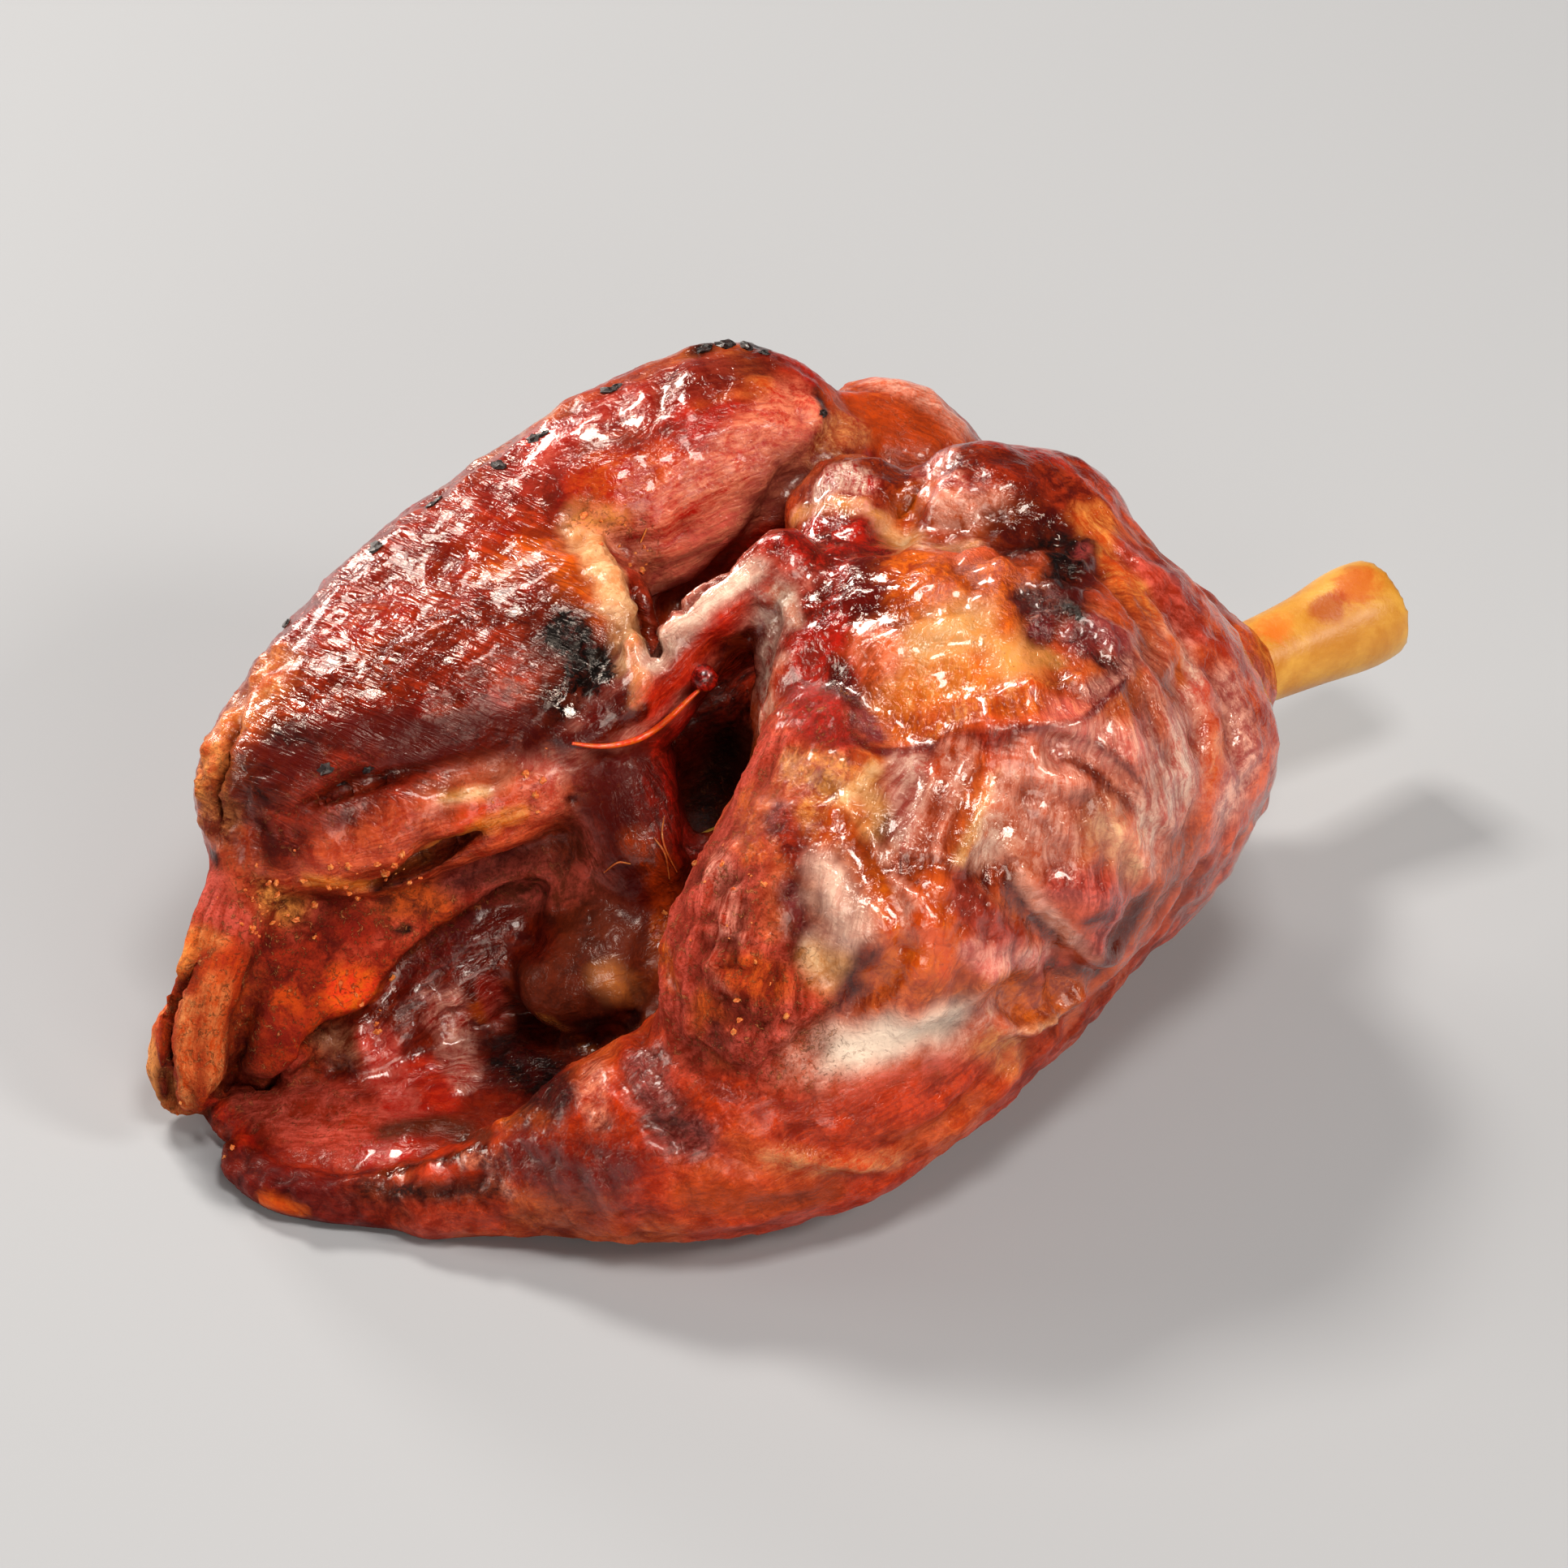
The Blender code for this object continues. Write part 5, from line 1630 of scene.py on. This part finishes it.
# %% Threads
def choose(pieces):
    """Selects these pieces only, the first as the active one."""
    bpy.ops.object.select_all(action="DESELECT")
    for piece in pieces:
        piece.select_set(True)
    bpy.context.view_layer.objects.active = pieces[0]


def thread(path, thickness):
    """A round thread through (x, y, z) places, thinner at its ends, as a mesh."""
    data = bpy.data.curves.new("thread", "CURVE")
    data.dimensions = "3D"
    data.bevel_depth = thickness * MM
    data.bevel_resolution = 3
    data.use_fill_caps = True
    spline = data.splines.new("POLY")
    places = curve_through(path, 5)
    spline.points.add(len(places) - 1)
    for n, place in enumerate(places):
        spline.points[n].co = (*((place - MIDDLE) * MM), 1)
        spline.points[n].radius = 0.35 + 0.65 * math.sin(math.pi * (n + 1) / (len(places) + 1)) ** 0.7
    made = bpy.data.objects.new("thread", data)
    bpy.context.scene.collection.objects.link(made)
    choose([made])
    bpy.ops.object.convert(target="MESH")
    return bpy.context.object


# %% Joined and painted
def gather(pieces, name, material):
    """Joins pieces into one, which rides on the hock."""
    choose(pieces)
    if len(pieces) > 1:
        bpy.ops.object.join()
    whole = bpy.context.object
    whole.name = name
    whole.data.name = name
    whole.data.materials.clear()
    whole.data.materials.append(material)
    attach(whole, "root")
    print(name, len(whole.data.polygons))


def small_material(name, deep, bright, roughness, coat, scale=1.2):
    """Two swatches in a fine mottle, with small bumps."""
    box = Paintbox(name, Coat_Roughness=0.06)
    mottles = box.grain(box.place(), scale, 4, 0.65, 0.4)
    colour = box.mix(mottles.between(0.38, 0.66), plain(deep), plain(bright))
    return box.finish(Base_Color=colour, Roughness=mottles * 0.3 + (roughness - 0.15),
                      Coat_Weight=mottles * coat, Normal=box.bump(mottles * 0.15))


# %% [markdown]
# ## A strand of glaze
# A thread of glaze hangs across the mouth of the pocket, with a dark bead at its upper end. It
# touches the meat at its ends only, so it can't be painted on. It is a curve with a round bevel,
# and its first points are drawn forward until they hang free in front of the pocket.

# %% Strand of glaze and its bead
STRAND = [(-11.5, 48.8), (-13.5, 47), (-16, 44.6), (-18.5, 42.6), (-21, 41.2), (-24, 40.4), (-27, 40.2),
          (-30.5, 40.6)]
# the strand's first points hang this far in front of the last place before it meets the meat
FREE_POINTS, FREE_GAP = 3, 1.5
STRAND_LIFT, STRAND_RADIUS = 0.5, 0.5
hung = []
for n, (across, up) in enumerate(STRAND):
    place = landing(across, up)[0]
    if n < FREE_POINTS:
        where_it_meets = landing(*STRAND[FREE_POINTS])[0]
        place = place + BACK * max(0.0, (where_it_meets - place) @ BACK + FREE_GAP)
    hung.append(place + STRAND_LIFT * BACK)
gather([thread(hung, STRAND_RADIUS)], "glaze_strand",
       small_material("glaze_strand", "scarlet", "amber", 0.2, 1.0))
bead_place = hung[0] + 1.2 * BOARD_UP
gather([lump(bead_place, BACK, size=2.3, flat=0.7, rough=0.10)], "glaze_bead",
       small_material("glaze_bead", "oxblood", "crimson", 0.15, 1.0))

# %% [markdown]
# ## Char
# Burnt skin flakes and stands up from the ridge's outline, where a painted spot would lie flat. The
# flecks are small rough lumps, and they stay faceted, because char breaks with edges.

# %% Flecks of char
FLECKS = [
    # across, up and size: along the ridge's outline and on its low side
    (-72.6, 57.4, 1.2), (-71.5, 58.2, 0.8), (-58.6, 69, 1.3), (-50.6, 75, 1.1), (-49.6, 75.8, 0.8),
    (-40.8, 80.8, 1.3), (-35.8, 84.6, 1.2), (-34.4, 85.2, 0.9), (-25, 91.4, 1.2), (-23.8, 92, 0.9),
    (-11, 97.4, 1.2), (-8, 98, 1.4), (-5, 97.6, 1.1), (-2.5, 96.8, 0.8), (-66, 37, 1.1),
    (-63.6, 35.2, 0.9), (-60, 37, 0.9), (6, 88, 0.9),
]
FLECK_FLAT, FLECK_ROUGH = 0.40, 0.42
charred = []
for across, up, size in FLECKS:
    place, facing = landing(across, up)
    charred.append(lump(place, facing, size, FLECK_FLAT, FLECK_ROUGH, smooth=False))
gather(charred, "char_flecks", small_material("char_fleck", "tar", "char", 0.45, 0.3))

# %% [markdown]
# ## Crumbs
# Crumbs of fried protein stick to the dry layers and the front knob. They lie in loose groups, so
# each group has a middle and a spread, and a normal distribution strews it as a hand would.

# %% Golden crumbs
CRUMB_SPOTS = [
    # middle, spread and how many: under the flap's top, by the torn rim, and on the front knob
    ((-73, 18), 3.6, 26), ((-65, 21), 2.6, 14), ((-56, 22.5), 3.0, 10), ((-25.5, 72), 2.2, 9),
    ((-20.5, 68), 1.5, 6), ((-87, -13.5), 1.6, 5), ((-81, -17), 1.2, 4), ((-7, 21), 4.0, 8),
    ((-8, 11), 4.5, 8), ((-5, 3), 4.0, 6), ((-58, 3), 3.0, 6), ((-35, 34), 4.0, 6),
]
CRUMB_FLAT, CRUMB_ROUGH = 0.8, 0.4
crumbs = []
for middle, spread, count in CRUMB_SPOTS:
    for _ in range(count):
        across, up = np.array(middle) + chance.normal(0, spread, 2) * 0.9
        place, facing = landing(across, up)
        size = 0.16 + 0.5 * chance.uniform() ** 2
        crumbs.append(lump(place, facing, size, CRUMB_FLAT, CRUMB_ROUGH, smooth=False))
gather(crumbs, "golden_crumbs", small_material("golden_crumb", "copper", "honey", 0.5, 0.2, 1.8))

# %% [markdown]
# ## Hairs
# A few fibres have pulled loose at the cleft. They are threads as thin as a hair, with their ends
# on the meat and the rest lifted off it.

# %% Pale hairs
HAIRS = [
    [(-17.3, 30), (-17.6, 27.5), (-17, 25), (-15.5, 22)], [(-18.8, 27), (-17.2, 24.6), (-16.6, 21)],
    [(-20.5, 69.5), (-19.6, 71.5)], [(-26, 22), (-24, 23.4), (-22.2, 23.2)],
]
END_LIFT, MIDDLE_LIFT, HAIR_RADIUS = 0.15, 0.9, 0.13
hairs = []
for path in HAIRS:
    lift = [END_LIFT] + [MIDDLE_LIFT] * (len(path) - 2) + [END_LIFT]
    raised = [landing(across, up)[0] + rise * BACK for (across, up), rise in zip(path, lift)]
    hairs.append(thread(raised, HAIR_RADIUS))
gather(hairs, "pale_hairs", small_material("pale_hair", "copper", "honey", 0.4, 0.4))

# %% [markdown]
# ## Table
# A pale matt floor under the hock catches its shadow and throws a little light back at its low side.

# %% Floor
bpy.ops.object.select_all(action="DESELECT")
bpy.ops.mesh.primitive_plane_add(size=6.0, location=(0, 0, 0))
floor = bpy.context.object
floor.name = "studio_floor"
floor_paint = Paintbox("studio_floor", Base_Color=(0.38, 0.405, 0.44, 1), Roughness=0.8)
floor.data.materials.append(floor_paint.material)
print(floor.name, [round(v, 2) for v in floor.dimensions])

# %% [markdown]
# ## Light
# The main lamp is a window high up behind the hock and to its left, so the glaze on top shines. One
# lamp would leave the near side black, so a panel overhead and a weak fill in front soften it. Three
# small cards at the left, the right and behind put the long reflections on the ridge and the lobe
# that show how wet they are.

# %% Lamps
WARM, SOFT_WARM = (1.0, 0.91, 0.81), (1.0, 0.92, 0.84)
LAMPS = {
    # name: place in m, size in m, power in W and colour
    "window": ((-0.42, 0.56, 0.93), 0.25, 10.2, WARM),
    "sky_panel": ((0.12, -0.42, 1.08), 0.25, 6.6, SOFT_WARM),
    "front_fill": ((0.30, -1.0, 0.42), 0.5, 4.6, WARM),
    "left_card": ((-1.05, 0.06, 0.26), 0.34, 4.0, WARM),
    "right_card": ((0.80, -0.45, 0.74), 0.24, 6.0, WARM),
    "rim_card": ((-0.72, 0.95, 0.34), 0.26, 8.0, SOFT_WARM),
}
AIMED_AT = Vector((0, 0, 0.04))


def lamp(name, where, size, power, colour):
    """A square soft lamp that looks at the hock."""
    light_data = bpy.data.lights.new(name, "AREA")
    light_data.shape = "SQUARE"
    light_data.size = size
    light_data.energy = power
    light_data.color = colour
    made = bpy.data.objects.new(name, light_data)
    bpy.context.scene.collection.objects.link(made)
    made.location = where
    made.rotation_mode = "QUATERNION"
    made.rotation_quaternion = (AIMED_AT - Vector(where)).to_track_quat("-Z", "Y")


for name, traits in LAMPS.items():
    lamp(name, *traits)
print("lamps:", ", ".join(LAMPS))

# %% Light from all round
ROOM_LIGHT = 0.05
world = bpy.data.worlds.new("studio")
world.use_nodes = True
background = world.node_tree.nodes["Background"]
background.inputs["Color"].default_value = (1, 1, 1, 1)
background.inputs["Strength"].default_value = ROOM_LIGHT
bpy.context.scene.world = world
bpy.context.scene.view_settings.view_transform = "Standard"

# %% [markdown]
# ## Camera
# The camera stands where the eye is, well away from the hock, and looks down at it. A short lens
# close by would make the lobe look swollen, so a long one from far off is used.

# %% Camera
LENS = 260.86957
LOOK_AT = 34.6 * BOARD_UP
camera_data = bpy.data.cameras.new("camera")
camera_data.sensor_width = 36.0
camera_data.lens = LENS
camera_data.clip_start, camera_data.clip_end = 0.1, 20.0
camera = bpy.data.objects.new("camera", camera_data)
bpy.context.scene.collection.objects.link(camera)
camera.location = (EYE - MIDDLE) * MM
camera.rotation_mode = "QUATERNION"
camera.rotation_quaternion = Vector(LOOK_AT - EYE).to_track_quat("-Z", "Y")
bpy.context.scene.camera = camera
print("camera at, m:", [round(v, 3) for v in camera.location])
